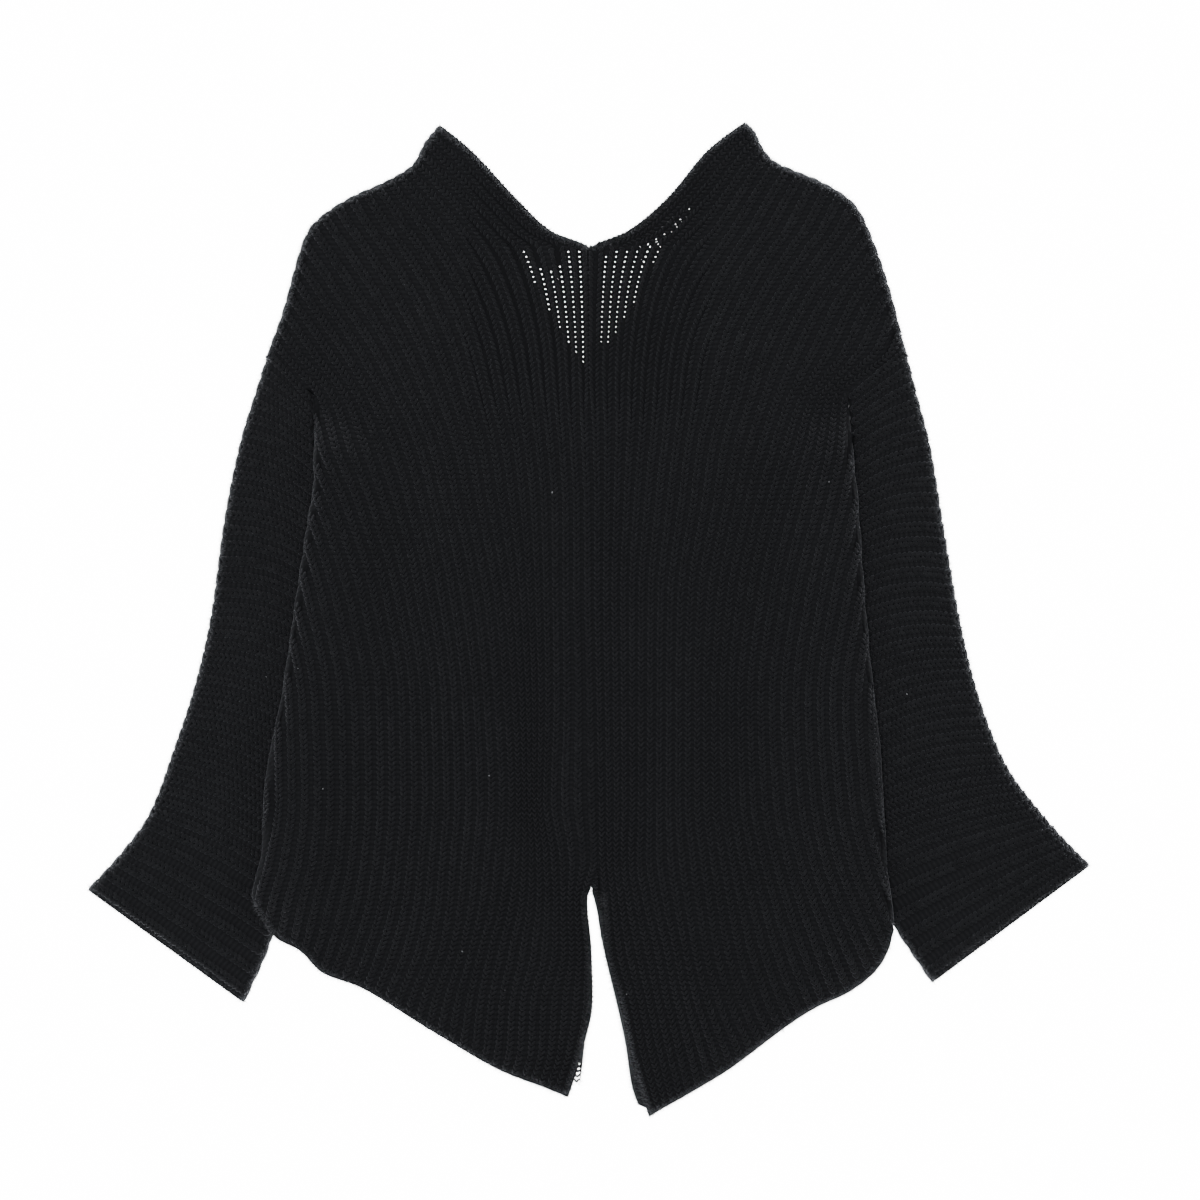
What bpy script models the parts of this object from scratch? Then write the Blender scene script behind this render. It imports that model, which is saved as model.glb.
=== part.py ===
"""A chunky rib cardigan with batwing sleeves, laid flat with its back uppermost.

Tables are in millimetres and meshes in metres. +Z is up, +Y runs from the hem to the
neck, and the origin is the middle of the garment on the surface that it lies on. A
table's "out" is the distance from the garment's middle line, to either side.

A back half turns down round its shoulder fold and meets the front's edge on the surface.
Its side fold lies over the sleeve, a flat tube. Ribs follow guide ribs, numbered from
the middle, and are raised over a plain inside.
"""

import math

import bmesh
import bpy
import numpy as np

MM = 0.001

WALL = 3.0  # the knit between two ribs
RIB_RISE = 1.8  # a rib's crest over the gutter
FOLD_RADIUS = 3.3  # outer radius of a fold, at the gutters
SEAM_GAP = 0.3
SLEEVE_STEP = 0.45  # how far the sleeve's first ring stands off the split
FRONT_CLEAR = 0.9  # the front's edge to a fold beside it
EDGE_ROUND = 1.0  # how far a knitted edge is rounded in
PANEL_UNDER = 2 * FOLD_RADIUS - WALL  # underside of a back half where it lies lowest
SIDE_LIFT = 9.3  # how far the side fold rides up over the sleeve
LIFT_FLAT = 12.0  # the stretch beside the fold that is fully lifted
LIFT_REACH = 75.0  # where the lift has run out
LIFT_RAMP = 42.0  # how far below the armpit the lift is complete
HEM_FADE = 70.0  # how far below the side fold the lift has run out
LIFT_OVER_FRONT = 34.0  # how far below the armpit the fold clears the front
RIDGE_FADE = 16.0  # a ridge runs out this near the middle
LINES_PER_RIB = 2  # a crest and a gutter
UNDER_STEP = 4  # lines between two on a plain underside
ROW_STATIONS = (312, 280, 250, 220, 190, 157, 115, 55, -15, -85, -145, -190, -235, -285)
MIDDLE_STATIONS = (329, 294, 271, 259, -168)  # more of them along the neck and at the vent
LINE_END = 9.0  # a row keeps this far from a line's ends
SHORTEST_LINE = 45.0
ARMPIT_ROW = 2  # the armpit's place on the split's line
EDGE_RELIEF = 0.8  # the share of a rib's rise left at an edge
OUTLINE_STEP = 2.0
REACH = 347  # half the length in which rib lines are looked for
HALVINGS = 14  # steps of the search for a line's end
MIDDLE_POINTS = 400
FRONT_STEP = 5.0
FRONT_SEAM_POINTS = 14
FOLD_TURNS = (45, 90, 135, 180)  # degrees round a fold

SLEEVE_RIBS = 42
SLEEVE_ACROSS = (0.0, 0.16, 0.36, 0.58, 0.8, 1.0)
SLEEVE_UNDER = (1.0, 0.66, 0.33, 0.0)
SLEEVE_TURNS = (45, 90, 135)
SLEEVE_INNER_STEP = 6  # ribs between two rings of the plain inside
SLEEVE_INNER_ACROSS = (0.0, 0.33, 0.67, 1.0)

KNIT_COLOUR = (0.012, 0.0125, 0.014, 1.0)
FRONT_COLOUR = (0.010, 0.0105, 0.012, 1.0)
ROUGHNESS = 0.95

# Columns: y, then out at each guide rib.
GUIDES_LEFT = (0, 4, 10, 16, 22, 28, 31)
RIBS_LEFT = (
    (346, 104, 140, 202, 272, 328, 384, 412),
    (329, 83, 124, 186, 261, 317, 373, 401),
    (294, 50, 90, 159, 238, 296, 352, 380),
    (271, 25, 70, 144, 222, 283, 339, 367),
    (259, -1.5, 60, 135, 214, 275, 331, 359),
    (224, -1.5, 46, 114, 190, 254, 310, 338),
    (189, -1.5, 38, 99, 166, 231, 287, 315),
    (154, -1.5, 34, 88, 146, 200, 258, 288),
    (119, -2, 30, 78, 131, 190, 246, 276),
    (84, -3, 27, 72, 121, 175, 231, 260),
    (14, -3.5, 26, 60, 106, 153, 209, 237),
    (-56, -5, 25, 54, 97, 142, 195, 222),
    (-126, -6.5, 27, 51, 95, 141, 193, 220),
    (-168, -7.5, 21, 53, 98, 144, 197, 227),
    (-196, 1, 20, 56, 100, 148, 204, 235),
    (-231, -2, 20, 64, 106, 158, 212, 241),
    (-266, -3, 27, 71, 119, 172, 227, 256),
    (-301, 4, 29, 75, 128, 182, 238, 267),
    (-343, 17, 45, 87, 137, 191, 247, 276),
)
GUIDES_RIGHT = (0, 5, 11, 17, 23, 28)
RIBS_RIGHT = (
    (348, 110, 141, 204, 278, 341, 393),
    (329, 85, 124, 189, 260, 323, 376),
    (294, 55, 99, 169, 239, 299, 351),
    (271, 27, 83, 157, 225, 283, 336),
    (259, 1.5, 73, 148, 217, 275, 328),
    (224, 1.5, 57, 126, 192, 253, 306),
    (189, 1.5, 49, 109, 175, 240, 292),
    (154, 1.5, 45, 100, 153, 190, 244),
    (119, 2, 41, 91, 142, 189, 240),
    (84, 3, 38, 86, 132, 183, 232),
    (14, 3.5, 34, 75, 117, 167, 213),
    (-56, 5, 34, 73, 110, 158, 202),
    (-126, 6.5, 34, 73, 112, 162, 207),
    (-168, 7.5, 33, 77, 119, 170, 216),
    (-196, 10, 37, 81, 126, 180, 225),
    (-231, 12, 45, 86, 136, 195, 241),
    (-266, 22, 52, 95, 149, 211, 258),
    (-301, 29, 60, 109, 166, 229, 278),
    (-348, 43, 71, 126, 185, 248, 297),
)

# Outlines. Columns: out, y.
SHOULDER_LEFT = (
    (104, 346), (114, 334), (122, 319), (137, 309), (167, 295), (183, 285),
    (194, 275), (200, 263), (204, 250), (214, 214), (222, 192),
)
SHOULDER_RIGHT = (
    (110, 348), (116, 342), (122, 330), (130, 321), (145, 314), (162, 307),
    (187, 290), (199, 266), (211, 231), (221, 193),
)
SIDE_LEFT = (
    (193, 157), (191, 133), (191, 98), (195, 71), (204, 11), (214, -56),
    (223, -101), (226, -126), (227, -161), (232, -181), (234, -191),
)
SIDE_RIGHT = (
    (182, 159), (184, 125), (188, 84), (193, 14), (198, -41), (204, -95),
    (206, -130), (208, -166), (211, -193), (214, -214),
)
HEM_LEFT = (
    (234, -191), (231, -202), (225, -212), (218, -222), (202, -231), (186, -247),
    (160, -257), (104, -291), (62, -315), (29, -328), (15, -334),
)
HEM_RIGHT = (
    (214, -214), (209, -232), (201, -245), (181, -261), (162, -270), (92, -319),
    (67, -334), (51, -343), (43, -348),
)
SPLIT_RIB_LEFT = 21  # the gutter where the left sleeve begins
SPLIT_RIB_RIGHT = 21

# The hidden front: its V neck, then its edge below the vent. Columns: out, y.
FRONT_NECK_LEFT = ((98, 333), (76, 304), (53, 266), (37, 231), (20, 199), (-2, 175))
FRONT_NECK_RIGHT = ((104, 335), (86, 301), (72, 278), (47, 253), (36, 224), (22, 199), (3, 175))
FRONT_VENT_LEFT = (
    (-7.5, -168), (-2, -188), (2, -200), (2, -222), (-1, -249), (1, -281), (4, -313), (6, -326),
)
FRONT_VENT_RIGHT = (
    (7.8, -168), (3, -189), (6, -203), (9, -222), (17, -257), (22, -278), (26, -297), (31, -329), (35, -340),
)
FRONT_HEM_IN = 3.0  # how far the front's hem stays behind the back's
FRONT_HEM_FROM = {-1: 212.0, 1: 196.0}  # how far out the front's hem reaches

# Sleeve stations. Columns: rib, out and y on the overarm, out and y on the inner fold, bow.
SLEEVE_LEFT = (
    (0, 222, 192, 194, 157, 0),
    (3, 233, 158, 191.8, 131, 2),
    (6, 243, 126, 189, 100, 5),
    (12, 255, 68, 186, 42, 8),
    (18, 264, 3, 189, -21, 9),
    (24, 275, -45, 194, -81, 9),
    (30, 290, -91, 202, -133, 8),
    (36, 308, -138, 212, -186, 4),
    (39, 327, -164, 223, -227, 2),
    (42, 350, -189, 241, -268, 0),
)
SLEEVE_RIGHT = (
    (0, 221, 193, 183, 159, 0),
    (3, 230, 158, 184.6, 132, 2),
    (6, 239, 124, 185, 101, 5),
    (12, 250, 58, 179, 42, 8),
    (18, 261, -4, 178, -21, 9),
    (24, 272, -49, 180, -81, 9),
    (30, 292, -101, 184, -130, 8),
    (36, 318, -137, 194, -178, 4),
    (39, 336, -157, 216, -217, 2),
    (42, 351, -172, 241, -254, 0),
)

# Soft ridges of the back. Columns: out and y of each end, width, height.
RIDGES_LEFT = (
    (20, -5, 8, -150, 17, 4.5),
    (74, -20, 66, -175, 22, 4.0),
    (118, 190, 84, 60, 30, 2.5),
    (112, -205, 128, -262, 26, 3.5),
    (30, -230, 44, -305, 22, 3.0),
)
RIDGES_RIGHT = (
    (62, 10, 70, -140, 24, 3.5),
    (24, -30, 22, -140, 16, 3.0),
    (110, 185, 88, 50, 30, 2.5),
    (60, -200, 88, -292, 22, 4.0),
    (150, -170, 166, -250, 24, 3.0),
)

SIDES = {
    "left": {
        "sign": -1, "guides": GUIDES_LEFT, "ribs": RIBS_LEFT, "shoulder": SHOULDER_LEFT,
        "side": SIDE_LEFT, "hem": HEM_LEFT, "split": SPLIT_RIB_LEFT, "sleeve": SLEEVE_LEFT,
        "neck": FRONT_NECK_LEFT, "vent": FRONT_VENT_LEFT, "ridges": RIDGES_LEFT,
    },
    "right": {
        "sign": 1, "guides": GUIDES_RIGHT, "ribs": RIBS_RIGHT, "shoulder": SHOULDER_RIGHT,
        "side": SIDE_RIGHT, "hem": HEM_RIGHT, "split": SPLIT_RIB_RIGHT, "sleeve": SLEEVE_RIGHT,
        "neck": FRONT_NECK_RIGHT, "vent": FRONT_VENT_RIGHT, "ridges": RIDGES_RIGHT,
    },
}


def eased(xs, ys, x):
    """A smooth curve through (xs, ys) that never overshoots, read at x. ys may have columns."""
    xs = np.asarray(xs, float)
    ys = np.asarray(ys, float)
    flat = ys.reshape(len(xs), -1)
    step = np.diff(xs)[:, None]
    slope = np.diff(flat, axis=0) / step
    tangent = np.empty_like(flat)
    tangent[0] = slope[0]
    tangent[-1] = slope[-1]
    before = slope[:-1]
    after = slope[1:]
    same = before * after > 0
    safe_before = np.where(same, before, 1.0)
    safe_after = np.where(same, after, 1.0)
    first = 2 * step[1:] + step[:-1]
    second = step[1:] + 2 * step[:-1]
    mean = (first + second) / (first / safe_before + second / safe_after)
    tangent[1:-1] = np.where(same, mean, 0.0)
    x = np.atleast_1d(np.asarray(x, float))
    cell = np.clip(np.searchsorted(xs, x) - 1, 0, len(xs) - 2)
    width = step[cell]
    t = (x[:, None] - xs[cell][:, None]) / width
    value = (
        (2 * t**3 - 3 * t**2 + 1) * flat[cell]
        + (t**3 - 2 * t**2 + t) * width * tangent[cell]
        + (3 * t**2 - 2 * t**3) * flat[cell + 1]
        + (t**3 - t**2) * width * tangent[cell + 1]
    )
    return value.reshape((len(x),) + ys.shape[1:])


def smoothstep(low, high, value):
    t = np.clip((value - low) / (high - low), 0.0, 1.0)
    return t * t * (3 - 2 * t)


def along(points, spacing):
    """A smooth curve through the points, with a point about every spacing millimetres."""
    points = np.asarray(points, float)
    run = np.concatenate([[0], np.cumsum(np.linalg.norm(np.diff(points, axis=0), axis=1))])
    count = max(2, int(round(run[-1] / spacing)) + 1)
    return eased(run, points, np.linspace(0, run[-1], count))


def moved_left(curve, distance):
    """The curve moved to its left by distance."""
    tangent = np.gradient(curve, axis=0)
    tangent /= np.linalg.norm(tangent, axis=1)[:, None]
    return curve + distance * np.stack([-tangent[:, 1], tangent[:, 0]], axis=1)


class Half:
    """One side of the garment: its rib lines, outline, lift and folds, in out and y."""

    def __init__(self, table):
        self.sign = table["sign"]
        self.guides = np.array(table["guides"], float)
        ribs = np.array(table["ribs"], float)[::-1]
        self.rib_y = ribs[:, 0]
        self.rib_out = ribs[:, 1:]
        self.shoulder = along(table["shoulder"], OUTLINE_STEP)
        self.side = along(table["side"], OUTLINE_STEP)
        self.hem = along(table["hem"], OUTLINE_STEP)
        self.split = table["split"]
        self.sleeve = np.array(table["sleeve"], float)
        self.neck = np.array(table["neck"], float)
        self.vent = np.array(table["vent"], float)
        self.ridges = table["ridges"]
        middle_y = np.linspace(self.shoulder[0, 1], self.hem[-1, 1], MIDDLE_POINTS)
        self.middle = np.stack([self.rib(0, middle_y), middle_y], axis=1)
        self.loop = np.concatenate(
            [self.shoulder, self.side, self.hem[1:], self.middle[::-1][1:-1]]
        )
        self.armpit = self.side[0]
        self.split_top = self.shoulder[-1]

    def rib(self, number, y):
        """How far out a rib line lies at each y."""
        across = eased(self.rib_y, self.rib_out, y)
        return eased(self.guides, across.T, [number])[0]

    def inside(self, points):
        """Whether each point lies within the outline."""
        x = points[:, 0][:, None]
        y = points[:, 1][:, None]
        start = self.loop
        end = np.roll(self.loop, -1, axis=0)
        rise = end[:, 1] - start[:, 1]
        rise = np.where(rise == 0, 1e-9, rise)
        crosses = (start[:, 1] > y) != (end[:, 1] > y)
        at = start[:, 0] + (y - start[:, 1]) * (end[:, 0] - start[:, 0]) / rise
        return (crosses & (x < at)).sum(axis=1) % 2 == 1

    def line(self, number):
        """A rib line's points within the outline, from the neck's end to the hem's."""
        y = np.arange(REACH, -REACH, -1.0)
        points = np.stack([self.rib(number, y), y], axis=1)
        within = self.inside(points).astype(int)
        edges = np.diff(np.concatenate([[0], within, [0]]))
        starts = np.where(edges == 1)[0]
        ends = np.where(edges == -1)[0]
        if len(starts) == 0:
            return None
        longest = int(np.argmax(ends - starts))
        top = self.crossing(number, y[starts[longest]] + 1.0, y[starts[longest]])
        bottom = self.crossing(number, y[ends[longest] - 1] - 1.0, y[ends[longest] - 1])
        rows = [s for s in ROW_STATIONS if bottom + LINE_END < s < top - LINE_END]
        kept = np.array([top] + rows + [bottom])
        return np.stack([self.rib(number, kept), kept], axis=1)

    def crossing(self, number, outer, inner):
        """The y between outer and inner where the rib line meets the outline."""
        for _ in range(HALVINGS):
            half = (outer + inner) / 2
            here = np.array([[self.rib(number, [half])[0], half]])
            if self.inside(here)[0]:
                inner = half
            else:
                outer = half
        return inner

    def lift(self, points):
        """How far the back is raised over where it would lie flat."""
        y = points[:, 1]
        side_end = self.side[-1, 1]
        edge = eased(self.side[::-1, 1], self.side[::-1, 0], np.maximum(y, side_end))
        ramp = smoothstep(0.0, LIFT_RAMP, self.armpit[1] - y)
        ramp = ramp * smoothstep(-HEM_FADE, 0.0, y - side_end)
        depth = edge - points[:, 0]
        raised = SIDE_LIFT * ramp * (1 - smoothstep(LIFT_FLAT, LIFT_REACH, depth))
        beside_seam = smoothstep(0.0, RIDGE_FADE, points[:, 0] - self.rib(0, y))
        for x0, y0, x1, y1, width, height in self.ridges:
            start = np.array([x0, y0], float)
            span = np.array([x1, y1], float) - start
            place = np.clip((points - start) @ span / (span @ span), 0.0, 1.0)
            gap = np.linalg.norm(points - start - place[:, None] * span, axis=1)
            raised = raised + beside_seam * height * np.exp(-((gap / width) ** 2))
        return raised


class Shell:
    """A closed triangle mesh that grows by strips."""

    def __init__(self):
        self.points = []
        self.faces = []

    def add(self, point):
        self.points.append(np.asarray(point, float))
        return len(self.points) - 1

    def stitch(self, first, second):
        """Triangles between two chains, across the shorter diagonal."""
        i = 0
        j = 0
        while i < len(first) - 1 or j < len(second) - 1:
            if j == len(second) - 1:
                ahead = True
            elif i == len(first) - 1:
                ahead = False
            else:
                here = np.linalg.norm(self.points[first[i + 1]] - self.points[second[j]])
                there = np.linalg.norm(self.points[first[i]] - self.points[second[j + 1]])
                ahead = here <= there
            if ahead:
                corner = (first[i], first[i + 1], second[j])
                i += 1
            else:
                corner = (first[i], second[j + 1], second[j])
                j += 1
            if len(set(corner)) == 3:
                self.faces.append(corner)

    def build(self, name, sign):
        """The mesh as an object, with its faces turned outwards."""
        points = np.array(self.points) * MM
        points[:, 0] *= sign
        mesh = bpy.data.meshes.new(name)
        mesh.from_pydata(points.tolist(), [], self.faces)
        solid = bmesh.new()
        solid.from_mesh(mesh)
        bmesh.ops.recalc_face_normals(solid, faces=solid.faces)
        solid.to_mesh(mesh)
        solid.free()
        mesh.shade_smooth()
        mesh.set_sharp_from_angle(angle=math.radians(50))
        return place(name, mesh)


def place(name, mesh):
    obj = bpy.data.objects.new(name, mesh)
    bpy.context.scene.collection.objects.link(obj)
    return obj


def relief(number):
    """The rib's rise at a rib number: nothing in the gutters, all of it on the crests."""
    return RIB_RISE * abs(math.sin(math.pi * number))


def normals_of(ring):
    """Outward normals of a closed ring of plan points, from its neighbours."""
    before = np.roll(ring, 1, axis=0)
    after = np.roll(ring, -1, axis=0)
    chord = after - before
    chord /= np.maximum(np.linalg.norm(chord, axis=1), 1e-9)[:, None]
    normal = np.stack([chord[:, 1], -chord[:, 0]], axis=1)
    area = 0.5 * np.sum(ring[:, 0] * after[:, 1] - after[:, 0] * ring[:, 1])
    return normal if area > 0 else -normal


def back_lines(half):
    """A back half's rib lines, as rib numbers and points, from the middle to the side fold."""
    top, bottom = half.middle[0, 1], half.middle[-1, 1]
    rows = [s for s in ROW_STATIONS + MIDDLE_STATIONS if bottom + LINE_END < s < top - LINE_END]
    kept = np.array(sorted([top, bottom] + rows, reverse=True))
    numbers = [0.0]
    lines = [np.stack([half.rib(0, kept), kept], axis=1)]
    for step in range(1, int(half.guides[-1]) * LINES_PER_RIB + 1):
        number = step / LINES_PER_RIB
        points = half.line(number)
        if points is None or np.ptp(points[:, 1]) < SHORTEST_LINE:
            continue
        if number == half.split:
            below = points[points[:, 1] < half.armpit[1] - LINE_END]
            halfway = (half.split_top + half.armpit) / 2
            points = np.concatenate([[half.split_top, halfway, half.armpit], below])
        numbers.append(number)
        lines.append(points)
    rim = lines[-1]
    rim[1:-1, 0] = eased(half.side[::-1, 1], half.side[::-1, 0], rim[1:-1, 1])
    return numbers, lines


def back_ring(half, lines, at):
    """The outline as (line, row, is a fold), from the neck over the arm and round to the neck."""
    ring = []
    for j in range(1, len(lines)):
        ring.append((j, 0, j != at))
        if j == at:
            ring += [(j, k, False) for k in range(1, ARMPIT_ROW + 1)]
    ring += [(len(lines) - 1, k, True) for k in range(1, len(lines[-1]) - 1)]
    for j in range(len(lines) - 1, 0, -1):
        ring.append((j, len(lines[j]) - 1, lines[j][-1, 1] > half.side[-1, 1] + 1))
    ring += [(0, k, False) for k in range(len(lines[0]) - 1, -1, -1)]
    return ring


def fold_chain(shell, point, out, raised, rise):
    """Points round a fold and back along its slit, from the wall's top to its underside."""
    centre = point - out * (FOLD_RADIUS + RIB_RISE / 2)
    middle = raised + FOLD_RADIUS
    slit = FOLD_RADIUS - WALL
    chain = []
    for turn in (0,) + FOLD_TURNS:
        angle = math.radians(turn)
        radius = FOLD_RADIUS + rise * min(1.0, 1.0 + math.cos(angle))
        x, y = centre + out * radius * math.sin(angle)
        chain.append(shell.add([x, y, middle + radius * math.cos(angle)]))
    for reach, height in ((0.0, -slit), (slit, 0.0), (0.0, slit)):
        x, y = centre + out * reach
        chain.append(shell.add([x, y, middle + height]))
    return chain


def edge_chain(shell, point, out, raised, rise):
    """Points round a knitted edge, from the wall's top to its underside."""
    edge = point - out * SEAM_GAP / 2
    back = edge - out * EDGE_ROUND
    base = raised + PANEL_UNDER
    return [
        shell.add([back[0], back[1], base + WALL + rise * EDGE_RELIEF]),
        shell.add([edge[0], edge[1], base + WALL / 2]),
        shell.add([back[0], back[1], base]),
    ]


def make_back(half, name):
    """A back half: ribbed above, plain below, turned down at its folds."""
    numbers, lines = back_lines(half)
    at = numbers.index(half.split)
    ring = back_ring(half, lines, at)
    plan = np.array([lines[j][k] for j, k, _ in ring])
    shell = Shell()
    top = [[None] * len(points) for points in lines]
    under = [[None] * len(points) for points in lines]
    chains = []
    for (j, k, folded), point, out in zip(ring, plan, normals_of(plan)):
        around = fold_chain if folded else edge_chain
        chain = around(shell, point, out, half.lift(point[None])[0], relief(numbers[j]))
        top[j][k] = chain[0]
        under[j][k] = chain[-1]
        chains.append(chain)
    for first, second in zip(chains, chains[1:] + chains[:1]):
        shell.stitch(first, second)

    coarse = sorted(set(range(0, len(lines), UNDER_STEP)) | {at, len(lines) - 1})
    for j, points in enumerate(lines):
        for k, (point, raised) in enumerate(zip(points, half.lift(points))):
            if top[j][k] is not None:
                continue
            base = raised + PANEL_UNDER
            top[j][k] = shell.add([point[0], point[1], base + WALL + relief(numbers[j])])
            if j in coarse:
                under[j][k] = shell.add([point[0], point[1], base])
    for j in range(len(lines) - 1):
        shell.stitch(top[j][ARMPIT_ROW:] if j == at else top[j], top[j + 1])
    for a, b in zip(coarse, coarse[1:]):
        between = [under[j][0] for j in range(a + 1, b)] + under[b]
        between += [under[j][-1] for j in range(b - 1, a, -1)]
        shell.stitch(under[a][ARMPIT_ROW:] if a == at else under[a], between)
    return shell.build(name, half.sign)


def sleeve_line(half, number):
    """The sleeve's rib line across its top: overarm point, inner point and bow."""
    row = eased(half.sleeve[:, 0], half.sleeve[:, 1:], [number])[0]
    return row[:2], row[2:4], row[4]


def sleeve_point(outer, inner, bow, t):
    """A point of a rib line, t from the overarm to the inner fold."""
    chord = inner - outer
    up = np.array([-chord[1], chord[0]]) / np.linalg.norm(chord)
    if up[1] < 0:
        up = -up
    return outer + t * chord + up * bow * 4 * t * (1 - t)


def make_sleeve(half, name):
    """A sleeve: a flat tube of rings, open at both ends, its ribs raised above."""
    shell = Shell()
    rings = []
    step = 1.0 / LINES_PER_RIB
    count = SLEEVE_RIBS * LINES_PER_RIB
    slack = FOLD_RADIUS + RIB_RISE / 2
    for i in range(count + 1):
        number = i * step
        outer, inner, bow = sleeve_line(half, number)
        rise = relief(number)
        width = np.linalg.norm(inner - outer)
        lead = slack / width
        if i == 0:
            outer = outer - np.array([0.0, SLEEVE_STEP])
            inner = inner - np.array([0.0, SLEEVE_STEP])
        ring = []
        for t in SLEEVE_ACROSS:
            x, y = sleeve_point(outer, inner, bow, lead + t * (1 - 2 * lead))
            ring.append(shell.add([x, y, 2 * FOLD_RADIUS + rise]))
        for end, turns in ((1.0 - lead, SLEEVE_TURNS), (lead, SLEEVE_TURNS[::-1])):
            centre = sleeve_point(outer, inner, bow, end)
            ahead = sleeve_point(outer, inner, bow, 1.0 if end > 0.5 else 0.0) - centre
            ahead /= np.linalg.norm(ahead)
            if end < 0.5:
                for t in SLEEVE_UNDER:
                    x, y = sleeve_point(outer, inner, bow, lead + t * (1 - 2 * lead))
                    ring.append(shell.add([x, y, 0.0]))
            for turn in turns:
                angle = math.radians(turn)
                radius = FOLD_RADIUS + rise * min(1.0, 1.0 + math.cos(angle))
                x, y = centre + ahead * radius * math.sin(angle)
                ring.append(shell.add([x, y, FOLD_RADIUS + radius * math.cos(angle)]))
        rings.append(ring + ring[:1])
    for first, second in zip(rings, rings[1:]):
        for k in range(len(first) - 1):
            shell.stitch(first[k:k + 2], second[k:k + 2])

    hollow = []
    slit = FOLD_RADIUS - WALL
    for number in range(0, SLEEVE_RIBS + 1, SLEEVE_INNER_STEP):
        outer, inner, bow = sleeve_line(half, number)
        if number == 0:
            outer = outer - np.array([0.0, SLEEVE_STEP])
            inner = inner - np.array([0.0, SLEEVE_STEP])
        lead = slack / np.linalg.norm(inner - outer)
        ring = []
        for t in SLEEVE_INNER_ACROSS:
            x, y = sleeve_point(outer, inner, bow, lead + t * (1 - 2 * lead))
            ring.append(shell.add([x, y, FOLD_RADIUS + slit]))
        for t in SLEEVE_INNER_ACROSS[::-1]:
            x, y = sleeve_point(outer, inner, bow, lead + t * (1 - 2 * lead))
            ring.append(shell.add([x, y, FOLD_RADIUS - slit]))
        hollow.append(ring + ring[:1])
    for first, second in zip(hollow, hollow[1:]):
        for k in range(len(first) - 1):
            shell.stitch(second[k:k + 2], first[k:k + 2])
    shell.stitch(hollow[0], rings[0])
    shell.stitch(rings[-1], hollow[-1])
    return shell.build(name, half.sign)


def front_side(half):
    """The front's side edge, beside the sleeve, and inside the back's fold near the armpit."""
    stations = np.arange(1.0, SLEEVE_RIBS, 2.0)
    side = eased(half.sleeve[:, 0], half.sleeve[:, 3:5], stations)
    side = moved_left(side, -(RIB_RISE / 2 + FRONT_CLEAR))
    rim = np.concatenate([half.side, half.hem[1:]])[::-1]
    low_fold = half.armpit[1] - side[:, 1] < LIFT_OVER_FRONT
    margin = np.where(low_fold, FOLD_RADIUS + RIB_RISE / 2 + FRONT_CLEAR, FRONT_HEM_IN)
    side[:, 0] = np.minimum(side[:, 0], np.interp(side[:, 1], rim[:, 1], rim[:, 0]) - margin)
    return side


def front_outline(half):
    """The front's outline, from the neck down the middle, along the hem and up the side."""
    turned = FOLD_RADIUS + RIB_RISE / 2 + FRONT_CLEAR
    edge_y = np.linspace(half.neck[-1, 1], half.vent[0, 1], FRONT_SEAM_POINTS)[1:-1]
    edge = np.stack([half.rib(0, edge_y) + SEAM_GAP / 2, edge_y], axis=1)
    hem = along(half.hem, FRONT_STEP) + np.array([0.0, FRONT_HEM_IN])
    hem = hem[(hem[:, 0] < FRONT_HEM_FROM[half.sign]) & (hem[:, 0] > half.vent[-1, 0] + FRONT_STEP)]
    side = front_side(half)
    side = side[side[:, 1] > hem[0, 1] + FRONT_STEP]
    split = half.armpit - half.split_top
    split /= np.linalg.norm(split)
    neckward = np.array([split[1], -split[0]]) * SEAM_GAP
    inner_corner = half.armpit - np.array([turned, 0.0])
    low_corner = half.armpit - split * turned + neckward
    high_corner = half.split_top + split * turned + neckward
    shoulder = moved_left(along(half.shoulder, FRONT_STEP), -turned)[2:-1]
    shoulder = shoulder[shoulder[:, 1] > high_corner[1] + FRONT_STEP]
    armhole = [inner_corner, low_corner, high_corner]
    return np.concatenate([half.neck, edge, half.vent, hem[::-1], side[::-1], armhole, shoulder[::-1]])


def make_front(half, name):
    """A front: a plain flat panel that lies on the surface."""
    outline = front_outline(half)
    solid = bmesh.new()
    corners = [solid.verts.new((half.sign * x * MM, y * MM, 0.0)) for x, y in outline]
    face = solid.faces.new(corners)
    grown = bmesh.ops.extrude_face_region(solid, geom=[face])
    raised = [item for item in grown["geom"] if isinstance(item, bmesh.types.BMVert)]
    bmesh.ops.translate(solid, vec=(0.0, 0.0, WALL * MM), verts=raised)
    bmesh.ops.triangulate(solid, faces=solid.faces)
    bmesh.ops.recalc_face_normals(solid, faces=solid.faces)
    mesh = bpy.data.meshes.new(name)
    solid.to_mesh(mesh)
    solid.free()
    return place(name, mesh)


def dress(obj, colour):
    """A matt dark knit, in the object's own material."""
    material = bpy.data.materials.new(obj.name)
    material.use_nodes = True
    surface = material.node_tree.nodes["Principled BSDF"]
    surface.inputs["Base Color"].default_value = colour
    surface.inputs["Roughness"].default_value = ROUGHNESS
    surface.inputs["Metallic"].default_value = 0.0
    obj.data.materials.append(material)


def main():
    for obj in list(bpy.data.objects):
        bpy.data.objects.remove(obj, do_unlink=True)
    for side, table in SIDES.items():
        half = Half(table)
        dress(make_back(half, "back_" + side), KNIT_COLOUR)
        dress(make_sleeve(half, "sleeve_" + side), KNIT_COLOUR)
        dress(make_front(half, "front_" + side), FRONT_COLOUR)


main()
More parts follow.
